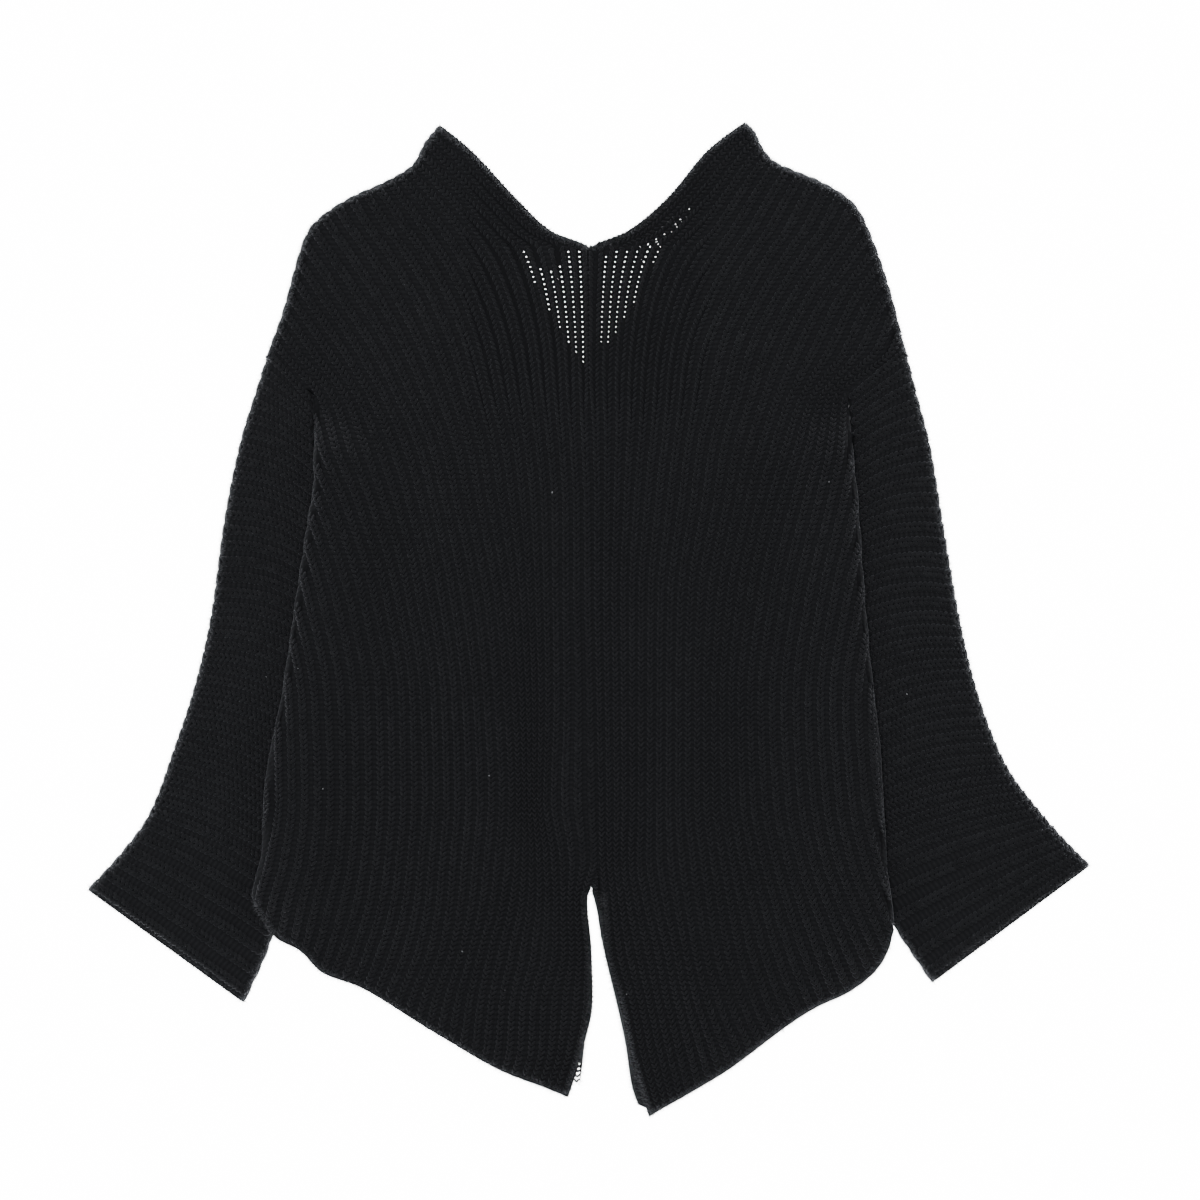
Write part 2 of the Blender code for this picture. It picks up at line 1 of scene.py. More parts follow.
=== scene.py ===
"""A black chunky rib cardigan, laid flat with its back uppermost: its knit, edges, nap and folds.

Tables and sizes are in millimetres, and meshes in metres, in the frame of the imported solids: +Z up,
+Y from the hem to the neck, and the middle of the garment at the origin. A table's "out" is the
distance from the middle line, to either side.

A side of the garment is a Lay: numbered ribs, an outline, and the height at which the cloth lies.
Each piece of cloth is a ground, a thin wall that follows the ribs, with loops of yarn in front of it,
a pair for each stitch, and a nap of short fibres on the loops.
"""

from __future__ import annotations

import logging
import math
from dataclasses import dataclass, field
from enum import Enum

import bmesh
import bpy
import numpy as np
from mathutils import Matrix, Vector

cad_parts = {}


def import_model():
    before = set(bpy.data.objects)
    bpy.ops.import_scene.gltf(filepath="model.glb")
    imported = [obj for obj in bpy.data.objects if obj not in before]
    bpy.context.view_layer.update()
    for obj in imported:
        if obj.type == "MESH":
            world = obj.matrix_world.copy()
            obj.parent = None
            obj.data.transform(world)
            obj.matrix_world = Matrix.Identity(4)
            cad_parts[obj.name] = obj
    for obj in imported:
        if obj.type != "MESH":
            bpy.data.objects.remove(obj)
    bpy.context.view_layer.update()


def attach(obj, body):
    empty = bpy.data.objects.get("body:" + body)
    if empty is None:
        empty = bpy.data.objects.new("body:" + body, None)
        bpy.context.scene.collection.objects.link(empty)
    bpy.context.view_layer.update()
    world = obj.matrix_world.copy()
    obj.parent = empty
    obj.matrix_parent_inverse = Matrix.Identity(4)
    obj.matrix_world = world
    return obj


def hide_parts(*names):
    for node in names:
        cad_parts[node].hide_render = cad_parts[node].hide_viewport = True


Array = np.ndarray
LOG = logging.getLogger("cardigan")
MM = 0.001

GUIDES_LEFT = (0, 4, 10, 16, 22, 28, 31)
# Columns: y, then out at each guide rib.
RIBS_LEFT = (
    (346, 104, 140, 202, 272, 328, 384, 412),
    (329, 83, 124, 186, 261, 317, 373, 401),
    (294, 50, 90, 159, 238, 296, 352, 380),
    (271, 25, 70, 144, 222, 283, 339, 367),
    (259, -1.5, 60, 135, 214, 275, 331, 359),
    (224, -1.5, 46, 114, 190, 254, 310, 338),
    (189, -1.5, 38, 99, 166, 231, 287, 315),
    (154, -1.5, 34, 88, 146, 200, 258, 288),
    (119, -2, 30, 78, 131, 190, 246, 276),
    (84, -3, 27, 72, 121, 175, 231, 260),
    (14, -3.5, 26, 60, 106, 153, 209, 237),
    (-56, -5, 25, 54, 97, 142, 195, 222),
    (-126, -6.5, 27, 51, 95, 141, 193, 220),
    (-168, -7.5, 21, 53, 98, 144, 197, 227),
    (-196, 1, 20, 56, 100, 148, 204, 235),
    (-231, -2, 20, 64, 106, 158, 212, 241),
    (-266, -3, 27, 71, 119, 172, 227, 256),
    (-301, 4, 29, 75, 128, 182, 238, 267),
    (-343, 17, 45, 87, 137, 191, 247, 276),
)
GUIDES_RIGHT = (0, 5, 11, 17, 23, 28)
RIBS_RIGHT = (
    (348, 110, 141, 204, 278, 341, 393),
    (329, 85, 124, 189, 260, 323, 376),
    (294, 55, 99, 169, 239, 299, 351),
    (271, 27, 83, 157, 225, 283, 336),
    (259, 1.5, 73, 148, 217, 275, 328),
    (224, 1.5, 57, 126, 192, 253, 306),
    (189, 1.5, 49, 109, 175, 240, 292),
    (154, 1.5, 45, 100, 153, 190, 244),
    (119, 2, 41, 91, 142, 189, 240),
    (84, 3, 38, 86, 132, 183, 232),
    (14, 3.5, 34, 75, 117, 167, 213),
    (-56, 5, 34, 73, 110, 158, 202),
    (-126, 6.5, 34, 73, 112, 162, 207),
    (-168, 7.5, 33, 77, 119, 170, 216),
    (-196, 10, 37, 81, 126, 180, 225),
    (-231, 12, 45, 86, 136, 195, 241),
    (-266, 22, 52, 95, 149, 211, 258),
    (-301, 29, 60, 109, 166, 229, 278),
    (-348, 43, 71, 126, 185, 248, 297),
)
# Outlines. Columns: out, y.
SHOULDER_LEFT = (
    (104, 346), (114, 334), (122, 319), (137, 309), (167, 295), (183, 285),
    (194, 275), (200, 263), (204, 250), (214, 214), (222, 192),
)
SHOULDER_RIGHT = (
    (110, 348), (116, 342), (122, 330), (130, 321), (145, 314), (162, 307),
    (187, 290), (199, 266), (211, 231), (221, 193),
)
SIDE_LEFT = (
    (193, 157), (191, 133), (191, 98), (195, 71), (204, 11), (214, -56),
    (223, -101), (226, -126), (227, -161), (232, -181), (234, -191),
)
SIDE_RIGHT = (
    (182, 159), (184, 125), (188, 84), (193, 14), (198, -41), (204, -95),
    (206, -130), (208, -166), (211, -193), (214, -214),
)
HEM_LEFT = (
    (234, -191), (231, -202), (225, -212), (218, -222), (202, -231), (186, -247),
    (160, -257), (104, -291), (62, -315), (29, -328), (15, -334),
)
HEM_RIGHT = (
    (214, -214), (209, -232), (201, -245), (181, -261), (162, -270), (92, -319),
    (67, -334), (51, -343), (43, -348),
)
# The hidden front: its V neck, its edge below the vent, and its side. Columns: out, y.
FRONT_NECK_LEFT = ((98, 333), (76, 304), (53, 266), (37, 231), (20, 199), (-2, 175))
FRONT_NECK_RIGHT = ((104, 335), (86, 301), (72, 278), (47, 253), (36, 224), (22, 199), (3, 175))
FRONT_VENT_LEFT = (
    (-7.5, -168), (-2.6, -187), (2, -200), (2, -222), (-1, -249), (1, -281), (4, -313), (6, -326),
)
FRONT_VENT_RIGHT = (
    (7.3, -168), (2.4, -187), (6, -203), (9, -222), (17, -257), (22, -278), (26, -297), (31, -329),
    (35, -340),
)
# The stretched knit below the neck shows holes in columns. Columns: rib number, length.
HOLES_LEFT = (
    (0.2, 90), (0.5, 90), (0.75, 14), (1, 90), (1.25, 18), (1.5, 90), (1.75, 16), (2, 90),
    (2.5, 90), (3, 90), (3.5, 90), (4, 90), (4.5, 90), (5, 90),
)
HOLES_RIGHT = (
    (0.55, 6), (0.8, 90), (1.05, 20), (1.3, 90), (1.55, 22), (1.8, 90), (2.05, 18), (2.3, 90),
    (2.55, 16), (2.8, 90), (3.05, 14), (3.3, 90), (3.8, 90), (4.3, 90), (4.8, 90), (5.3, 90),
)
# Where they begin and end. Columns: out, highest y, lowest y.
OPEN_LEFT = (
    (0, 257, 199), (4, 258, 176), (8.4, 258, 183), (14, 258, 193), (18, 257, 201), (20, 247, 204),
    (25, 245, 213), (34, 246, 229), (41, 256, 241), (52, 265, 255), (56, 266, 262),
)
OPEN_RIGHT = (
    (0, 257, 200), (10.5, 257, 190), (15, 257, 195), (20, 258, 200), (26, 259, 212),
    (32, 261, 219), (42, 268, 236), (49, 274, 255), (60, 283, 268), (72, 295, 284),
)
# Sleeve stations. Columns: rib, out and y on the overarm, out and y on the inner fold, bow.
SLEEVE_LEFT = (
    (0, 222, 192, 194, 157, 0),
    (3, 233, 158, 191.8, 131, 2),
    (6, 243, 126, 189, 100, 5),
    (12, 255, 68, 186, 42, 8),
    (18, 264, 3, 189, -21, 9),
    (24, 275, -45, 194, -81, 9),
    (30, 290, -91, 202, -133, 8),
    (36, 308, -138, 212, -186, 4),
    (39, 327, -164, 223, -227, 2),
    (42, 350, -189, 241, -268, 0),
)
SLEEVE_RIGHT = (
    (0, 221, 193, 183, 159, 0),
    (3, 230, 158, 184.6, 132, 2),
    (6, 239, 124, 185, 101, 5),
    (12, 250, 58, 179, 42, 8),
    (18, 261, -4, 178, -21, 9),
    (24, 272, -49, 180, -81, 9),
    (30, 292, -101, 184, -130, 8),
    (36, 318, -137, 194, -178, 4),
    (39, 336, -157, 216, -217, 2),
    (42, 351, -172, 241, -254, 0),
)
# Soft ridges of the back. Columns: out and y of each end, width, height.
RIDGES_LEFT = (
    (20, -5, 8, -150, 17, 4.5),
    (74, -20, 66, -175, 22, 4.0),
    (118, 190, 84, 60, 30, 2.5),
    (112, -205, 128, -262, 26, 3.5),
    (30, -230, 44, -305, 22, 3.0),
)
RIDGES_RIGHT = (
    (62, 10, 70, -140, 24, 3.5),
    (24, -30, 22, -140, 16, 3.0),
    (110, 185, 88, 50, 30, 2.5),
    (60, -200, 88, -292, 22, 4.0),
    (150, -170, 166, -250, 24, 3.0),
)
# Pale specks of lint on the cloth. Columns: x, y.
LINT = (
    (-191, -7), (-225, -40), (-202, -34), (-185, -118), (-69, -109), (-88, -232), (-58, -259),
    (27, -262), (168, 96), (251, 54), (223, -52), (-25, 89),
)


class Side(Enum):
    """A side of the garment as it shows, and the sign of its x."""

    LEFT = -1
    RIGHT = 1


@dataclass(frozen=True)
class Cut:
    """The tables of one side, in millimetres."""

    guides: tuple
    ribs: tuple
    shoulder: tuple
    side: tuple
    hem: tuple
    split: int
    neck: tuple
    vent: tuple
    holes: tuple
    open: tuple
    slip: float
    sleeve: tuple
    ridges: tuple


CUTS = {
    Side.LEFT: Cut(
        GUIDES_LEFT, RIBS_LEFT, SHOULDER_LEFT, SIDE_LEFT, HEM_LEFT, 21, FRONT_NECK_LEFT,
        FRONT_VENT_LEFT, HOLES_LEFT, OPEN_LEFT, 0.0, SLEEVE_LEFT, RIDGES_LEFT,
    ),
    Side.RIGHT: Cut(
        GUIDES_RIGHT, RIBS_RIGHT, SHOULDER_RIGHT, SIDE_RIGHT, HEM_RIGHT, 21, FRONT_NECK_RIGHT,
        FRONT_VENT_RIGHT, HOLES_RIGHT, OPEN_RIGHT, -0.2, SLEEVE_RIGHT, RIDGES_RIGHT,
    ),
}


@dataclass(frozen=True)
class Knit:
    """Sizes of the knit and of the way it lies, in millimetres."""

    wall: float = 3.0
    rib_rise: float = 1.8
    fold_radius: float = 3.3
    side_lift: float = 9.3
    lift_flat: float = 12.0
    lift_reach: float = 75.0
    lift_ramp: float = 42.0
    hem_fade: float = 70.0
    ridge_fade: float = 16.0
    ground_wall: float = 2.6
    ground_rise: float = 0.8
    loop_level: float = 0.55
    rib_pitch: float = 8.0
    row_pitch: float = 3.5
    seam_gap: float = 0.3
    fold_out: float = 1.2

    @property
    def reach(self) -> float:
        """How far a fold stands out from its middle, with half of a rib's rise."""
        return self.fold_radius + self.rib_rise / 2

    @property
    def panel_under(self) -> float:
        """The underside of a back half where it lies lowest."""
        return 2 * self.fold_radius - self.wall


KNIT = Knit()


def eased(xs: Array, ys: Array, x: Array) -> Array:
    """A smooth curve through given points that never overshoots.

    Args:
        xs: rising places of the points.
        ys: the values there, which may have columns.
        x: the places to read.

    Returns:
        The values at x, with the columns of ys.
    """
    xs = np.asarray(xs, float)
    ys = np.asarray(ys, float)
    flat = ys.reshape(len(xs), -1)
    step = np.diff(xs)[:, None]
    slope = np.diff(flat, axis=0) / step
    tangent = np.empty_like(flat)
    tangent[0] = slope[0]
    tangent[-1] = slope[-1]
    before = slope[:-1]
    after = slope[1:]
    same = before * after > 0
    safe_before = np.where(same, before, 1.0)
    safe_after = np.where(same, after, 1.0)
    first = 2 * step[1:] + step[:-1]
    second = step[1:] + 2 * step[:-1]
    mean = (first + second) / (first / safe_before + second / safe_after)
    tangent[1:-1] = np.where(same, mean, 0.0)
    x = np.atleast_1d(np.asarray(x, float))
    cell = np.clip(np.searchsorted(xs, x) - 1, 0, len(xs) - 2)
    width = step[cell]
    t = (x[:, None] - xs[cell][:, None]) / width
    value = (
        (2 * t**3 - 3 * t**2 + 1) * flat[cell]
        + (t**3 - 2 * t**2 + t) * width * tangent[cell]
        + (3 * t**2 - 2 * t**3) * flat[cell + 1]
        + (t**3 - t**2) * width * tangent[cell + 1]
    )
    return value.reshape((len(x),) + ys.shape[1:])


def smoothstep(low: float, high: float, value: Array) -> Array:
    """A smooth step from 0 at low to 1 at high."""
    t = np.clip((value - low) / (high - low), 0.0, 1.0)
    return t * t * (3 - 2 * t)


def run_length(points: Array) -> Array:
    """The length along a line of points, from the first to each."""
    return np.concatenate([[0], np.cumsum(np.linalg.norm(np.diff(points, axis=0), axis=1))])


def along(points: Array, spacing: float) -> Array:
    """A smooth curve through the points, with a point about every spacing millimetres."""
    points = np.asarray(points, float)
    run = run_length(points)
    count = max(2, int(round(run[-1] / spacing)) + 1)
    return eased(run, points, np.linspace(0, run[-1], count))


def moved_left(curve: Array, distance: float) -> Array:
    """The curve moved to its left by distance."""
    tangent = np.gradient(curve, axis=0)
    tangent /= np.linalg.norm(tangent, axis=1)[:, None]
    return curve + distance * np.stack([-tangent[:, 1], tangent[:, 0]], axis=1)


def within(points: Array, loop: Array) -> Array:
    """Whether each point lies within a closed outline."""
    x = points[:, 0][:, None]
    y = points[:, 1][:, None]
    end = np.roll(loop, -1, axis=0)
    rise = end[:, 1] - loop[:, 1]
    rise = np.where(rise == 0, 1e-9, rise)
    crosses = (loop[:, 1] > y) != (end[:, 1] > y)
    at = loop[:, 0] + (y - loop[:, 1]) * (end[:, 0] - loop[:, 0]) / rise
    return (crosses & (x < at)).sum(axis=1) % 2 == 1


def unit(vectors: Array) -> Array:
    """The vectors, each with length 1."""
    return vectors / np.maximum(np.linalg.norm(vectors, axis=-1, keepdims=True), 1e-9)


def ring_normals(ring: Array) -> Array:
    """Outward normals of a closed ring of plan points."""
    after = np.roll(ring, -1, axis=0)
    chord = unit(after - np.roll(ring, 1, axis=0))
    normal = np.stack([chord[:, 1], -chord[:, 0]], axis=1)
    area = np.sum(ring[:, 0] * after[:, 1] - after[:, 0] * ring[:, 1])
    return normal if area > 0 else -normal


class Lay:
    """How one side of the garment lies: its ribs, outline, height and folds."""

    def __init__(self, side: Side) -> None:
        """Reads the side's tables.

        Args:
            side: which side it is.
        """
        cut = CUTS[side]
        self.cut = cut
        self.name = side.name.lower()
        self.sign = side.value
        self.guides = np.array(cut.guides, float)
        ribs = np.array(cut.ribs, float)[::-1]
        self.rib_y = ribs[:, 0]
        self.rib_out = ribs[:, 1:]
        self.shoulder = along(cut.shoulder, 2.0)
        self.side = along(cut.side, 2.0)
        self.hem = along(cut.hem, 2.0)
        self.sleeve = np.array(cut.sleeve, float)
        y = np.linspace(self.shoulder[0, 1], self.hem[-1, 1], 400)
        self.middle = np.stack([self.rib(0, y), y], axis=1)
        self.loop = np.concatenate(
            [self.shoulder, self.side, self.hem[1:], self.middle[::-1][1:-1]]
        )
        self.armpit = self.side[0]
        self.split_top = self.shoulder[-1]

    def rib(self, number: float, y: Array) -> Array:
        """How far out a rib line lies at each y."""
        across = eased(self.rib_y, self.rib_out, y)
        return eased(self.guides, across.T, [number])[0]

    def line(self, number: float, loop: Array, rows: Array, clear: float) -> Array | None:
        """A rib line's points within an outline.

        Args:
            number: the rib number.
            loop: the outline.
            rows: the y at which the line has a point.
            clear: how far rows stay from the line's ends.

        Returns:
            The points from the neck's end to the hem's, or None where the line is outside.
        """
        y = np.arange(350.0, -350.0, -1.0)
        inside = within(np.stack([self.rib(number, y), y], axis=1), loop).astype(int)
        edges = np.diff(np.concatenate([[0], inside, [0]]))
        starts = np.where(edges == 1)[0]
        ends = np.where(edges == -1)[0]
        if len(starts) == 0:
            return None
        longest = int(np.argmax(ends - starts))
        top = self.crossing(number, loop, y[starts[longest]] + 1.0, y[starts[longest]])
        bottom = self.crossing(number, loop, y[ends[longest] - 1] - 1.0, y[ends[longest] - 1])
        kept = rows[(rows > bottom + clear) & (rows < top - clear)]
        kept = np.concatenate([[top], kept, [bottom]])
        return np.stack([self.rib(number, kept), kept], axis=1)

    def crossing(self, number: float, loop: Array, outer: float, inner: float) -> float:
        """The y between outer and inner where the rib line meets the outline."""
        for _ in range(14):
            half = (outer + inner) / 2
            here = np.array([[self.rib(number, [half])[0], half]])
            if within(here, loop)[0]:
                inner = half
            else:
                outer = half
        return inner

    def lift(self, points: Array) -> Array:
        """How far the back is raised over where it would lie flat."""
        y = points[:, 1]
        side_end = self.side[-1, 1]
        edge = eased(self.side[::-1, 1], self.side[::-1, 0], np.maximum(y, side_end))
        ramp = smoothstep(0.0, KNIT.lift_ramp, self.armpit[1] - y)
        ramp = ramp * smoothstep(-KNIT.hem_fade, 0.0, y - side_end)
        depth = edge - points[:, 0]
        raised = KNIT.side_lift * ramp * (1 - smoothstep(KNIT.lift_flat, KNIT.lift_reach, depth))
        beside_seam = smoothstep(0.0, KNIT.ridge_fade, points[:, 0] - self.rib(0, y))
        for x0, y0, x1, y1, width, height in self.cut.ridges:
            start = np.array([x0, y0], float)
            span = np.array([x1, y1], float) - start
            place = np.clip((points - start) @ span / (span @ span), 0.0, 1.0)
            gap = np.linalg.norm(points - start - place[:, None] * span, axis=1)
            raised = raised + beside_seam * height * np.exp(-((gap / width) ** 2))
        return raised

    def from_fold(self, points: Array) -> tuple[Array, Array]:
        """How points lie to the shoulder and side folds.

        Args:
            points: plan points.

        Returns:
            Their distances inward from the nearest fold, negative outside, and the outward
            direction of the fold there.
        """
        starts = np.concatenate([self.shoulder[:-1], self.side[:-1]])
        ends = np.concatenate([self.shoulder[1:], self.side[1:]])
        span = ends - starts
        length = (span**2).sum(axis=1)
        gap = points[:, None, :] - starts[None]
        t = np.clip((gap * span).sum(axis=2) / length, 0.0, 1.0)
        off = gap - t[..., None] * span
        distance = np.linalg.norm(off, axis=2)
        nearest = np.argmin(distance, axis=1)
        chord = unit(span[nearest])
        outward = np.stack([-chord[:, 1], chord[:, 0]], axis=1)
        rows = np.arange(len(points))
        sign = np.where((off[rows, nearest] * outward).sum(axis=1) > 0, -1.0, 1.0)
        return sign * distance[rows, nearest], outward

    def sleeve_line(self, number: float) -> tuple[Array, Array, float]:
        """A sleeve rib's overarm point, inner point and bow."""
        row = eased(self.sleeve[:, 0], self.sleeve[:, 1:], [number])[0]
        return row[:2], row[2:4], row[4]

    def sleeve_point(self, number: float, t: Array) -> Array:
        """Plan points of a sleeve rib, t from the overarm to the inner fold."""
        outer, inner, bow = self.sleeve_line(number)
        t = np.atleast_1d(np.asarray(t, float))[:, None]
        chord = inner - outer
        up = np.array([-chord[1], chord[0]]) / np.linalg.norm(chord)
        if up[1] < 0:
            up = -up
        return outer + t * chord + up * bow * 4 * t * (1 - t)


def relief(number: float) -> float:
    """A rib's height at a rib number, from 0 in the gutters to 1 on the crests."""
    return abs(math.sin(math.pi * number))


class Ground:
    """A thin wall that grows by strips, with rib and row coordinates on its points."""

    def __init__(self) -> None:
        """Starts with no points."""
        self.points: list[Array] = []
        self.knit: list[tuple[float, float]] = []
        self.faces: list[tuple[int, ...]] = []

    def add(self, x: float, y: float, z: float, rib: float, row: float) -> int:
        """Adds a point, and returns its number."""
        self.points.append(np.array([x, y, z]))
        self.knit.append((rib, row))
        return len(self.points) - 1

    def stitch(self, first: list[int], second: list[int]) -> None:
        """Triangles between two chains of points, across the shorter diagonal."""
        i = 0
        j = 0
        while i < len(first) - 1 or j < len(second) - 1:
            if j == len(second) - 1:
                ahead = True
            elif i == len(first) - 1:
                ahead = False
            else:
                here = self.points[first[i + 1]] - self.points[second[j]]
                there = self.points[first[i]] - self.points[second[j + 1]]
                ahead = here @ here <= there @ there
            if ahead:
                corner = (first[i], first[i + 1], second[j])
                i += 1
            else:
                corner = (first[i], second[j + 1], second[j])
                j += 1
            if len(set(corner)) == 3:
                self.faces.append(corner)

    def piece(self, name: str, sign: int, material: bpy.types.Material) -> bpy.types.Object:
        """The wall as a finished piece.

        Args:
            name: the piece's name.
            sign: the sign of its x.
            material: its finish.

        Returns:
            The object, with its place in its mesh.
        """
        points = np.array(self.points) * MM
        points[:, 0] *= sign
        mesh = bpy.data.meshes.new(name)
        mesh.from_pydata(points.tolist(), [], self.faces)
        solid = bmesh.new()
        solid.from_mesh(mesh)
        bmesh.ops.recalc_face_normals(solid, faces=solid.faces)
        upward = sum(face.normal.z * face.calc_area() for face in solid.faces)
        if upward < 0:
            bmesh.ops.reverse_faces(solid, faces=solid.faces)
        solid.to_mesh(mesh)
        solid.free()
        layer = mesh.uv_layers.new(name="knit")
        corner = np.empty(len(mesh.loops), np.int32)
        mesh.loops.foreach_get("vertex_index", corner)
        layer.data.foreach_set("uv", np.array(self.knit)[corner].astype(np.float32).ravel())
        obj = bpy.data.objects.new(name, mesh)
        bpy.context.scene.collection.objects.link(obj)
        wall = obj.modifiers.new("wall", "SOLIDIFY")
        wall.thickness = KNIT.ground_wall * MM
        wall.offset = 0.0
        solid_obj = finished(obj, name)
        solid_obj.data.shade_smooth()
        solid_obj.data.set_sharp_from_angle(angle=math.radians(60))
        solid_obj.data.materials.clear()
        solid_obj.data.materials.append(material)
        return solid_obj


def finished(obj: bpy.types.Object, name: str) -> bpy.types.Object:
    """The object's evaluated shape as a plain mesh object, which takes its place.

    Args:
        obj: an object with modifiers.
        name: the new object's name.

    Returns:
        The new object. The old one is removed.
    """
    bpy.context.view_layer.update()
    graph = bpy.context.evaluated_depsgraph_get()
    mesh = bpy.data.meshes.new_from_object(obj.evaluated_get(graph))
    old = obj.data
    bpy.data.objects.remove(obj, do_unlink=True)
    bpy.data.meshes.remove(old)
    mesh.name = name
    made = bpy.data.objects.new(name, mesh)
    bpy.context.scene.collection.objects.link(made)
    return made


@dataclass
class Loops:
    """Where loops of yarn lie: middle, direction, outward normal, lean to a side and size."""

    place: list[Array] = field(default_factory=list)
    heading: list[Array] = field(default_factory=list)
    up: list[Array] = field(default_factory=list)
    lean: list[Array] = field(default_factory=list)
    size: list[Array] = field(default_factory=list)

    def follow(
        self,
        path: Array,
        up: Array,
        width: Array,
        spread: Array,
        anchor: float,
        sides: tuple[int, ...] = (-1, 1),
    ) -> None:
        """Adds the loops of one rib, a pair for each row.

        Args:
            path: points along the rib's crest.
            up: the outward normals there.
            width: the loops' width there, as a share of the usual one.
            spread: how far from the crest their middles lie.
            anchor: the length along the path at which a row begins.
            sides: on which sides of the crest loops lie.
        """
        run = run_length(path)
        pitch = KNIT.row_pitch
        first = math.ceil((pitch * 0.4 - anchor) / pitch) * pitch + anchor
        at = np.arange(first, run[-1] - pitch * 0.3, pitch)
        if len(at) == 0:
            return
        middle = read_along(run, path, at)
        normal = unit(read_along(run, up, at))
        ahead = unit(read_along(run, path, at + 0.8) - read_along(run, path, at - 0.8))
        across = unit(np.cross(ahead, normal))
        share = np.interp(at, run, width)
        apart = np.interp(at, run, spread)
        for side in sides:
            offset = apart * side
            self.place.append(middle + across * offset[:, None])
            self.heading.append(ahead)
            self.up.append(unit(normal - LOOP.tuck * ahead))
            self.lean.append(np.full(len(at), float(side)))
            longer = 1.0 + LOOP.stretch * (share - 1.0)
            self.size.append(np.stack([share, longer, np.ones(len(at))], axis=1))


def read_along(run: Array, values: Array, at: Array) -> Array:
    """The columns of values, given along run, read at some places."""
    return np.stack([np.interp(at, run, column) for column in values.T], axis=1)


@dataclass(frozen=True)
class LoopSize:
    """The size of a loop's visible leg, in millimetres, and the way it lies."""

    length: float = 4.7
    width: float = 2.35
    height: float = 2.0
    offset: float = 1.1
    slant: float = 33.0
    tuck: float = 0.2
    uneven: float = 0.12
    slimmer: float = 0.25
    stretch: float = 0.45
    sides: int = 5
    rings: int = 3


LOOP = LoopSize()
# Loose fibres: how close they stand along an edge, how far in from it, and how much higher there.
FRINGE_PITCH = 0.14
FRINGE_INSET = 4.5
FRINGE_RISE = 3.6
# The golden ratio's part, which spreads their insets evenly.
GOLDEN = 0.618034


@dataclass(frozen=True)
class YarnFinish:
    """The soft black yarn of the loops."""

    name: str = "yarn"
    dark: tuple = (0.0175, 0.0180, 0.0200, 1.0)
    light: tuple = (0.0275, 0.0283, 0.0310, 1.0)
    sheen: float = 0.12

    def material(self) -> bpy.types.Material:
        """Builds the yarn's material, on object coordinates and the loops' own tone."""
        wool = Finish(self.name)
        tone = wool.node("ShaderNodeAttribute")
        tone.attribute_name = "tone"
        patches = wool.noise(scale=38.0, detail=3.0)
        strands = wool.noise(scale=1500.0, detail=2.0)
        shade = wool.mix_numbers(tone.outputs["Fac"], patches, 0.45)
        shade = wool.mix_numbers(shade, strands, 0.35)
        wool.colour(wool.ramp(shade, self.dark, self.light, 0.25, 0.75))
        wool.bump(strands, strength=0.5, distance=0.0004)
        wool.matte(roughness=0.92, sheen=self.sheen)
        return wool.material


@dataclass(frozen=True)
class GroundFinish:
    """The knit behind the loops: the gutters' purl rows, and the plain undersides. Its colour holds
    painted shade between the rows and painted light on the rungs.
    """

    name: str = "ground"
    # Painted light and shade: dark between the purl rows and under the crests, light on the gutters'
    # rungs, which also lifts the gutters against their real shadow.
    dark: tuple = (0.0110, 0.0113, 0.0127, 1.0)
    light: tuple = (0.0235, 0.0242, 0.0267, 1.0)
    rows: float = 0.0007

    def material(self) -> bpy.types.Material:
        """Builds the ground's material from its rib and row coordinates, with painted shade between the
        rows and painted light on the rungs.
        """
        wool = Finish(self.name)
        knit = wool.node("ShaderNodeUVMap")
        knit.uv_map = "knit"
        parts = wool.node("ShaderNodeSeparateXYZ")
        wool.link(knit.outputs["UV"], parts.inputs["Vector"])
        rib = wool.maths("FRACT", parts.outputs["X"])
        gutter = wool.maths("MULTIPLY", wool.maths("ABSOLUTE", wool.maths("SUBTRACT", rib, 0.5)), 2.0)
        row = wool.maths("FRACT", parts.outputs["Y"])
        bow = wool.maths("SUBTRACT", 1.0, wool.maths("ABSOLUTE", wool.maths("SUBTRACT", row, 0.5)))
        height = wool.maths("MULTIPLY", wool.maths("POWER", bow, 2.0), gutter)
        fibres = wool.noise(scale=1300.0, detail=2.0)
        patches = wool.noise(scale=40.0, detail=3.0)
        # Painted shade: the colour is darker between the rows and under the crests, and lighter on the
        # gutters' rungs.
        shade = wool.mix_numbers(height, patches, 0.25)
        wool.colour(wool.ramp(shade, self.dark, self.light, 0.1, 0.8))
        wool.bump(wool.mix_numbers(height, fibres, 0.2), strength=0.8, distance=self.rows)
        wool.matte(roughness=0.95, sheen=0.1)
        return wool.material


@dataclass(frozen=True)
class NapFinish:
    """The fibres that stand off the yarn, and the pale lint."""

    name: str
    colour: tuple

    def material(self) -> bpy.types.Material:
        """Builds the fibres' material, with a slight change of tone from place to place."""
        hair = Finish(self.name)
        patches = hair.noise(scale=220.0, detail=1.0)
        dark = tuple(0.7 * value for value in self.colour[:3]) + (1.0,)
        hair.colour(hair.ramp(patches, dark, self.colour, 0.35, 0.65))
        hair.matte(roughness=0.8, sheen=0.3)
        return hair.material


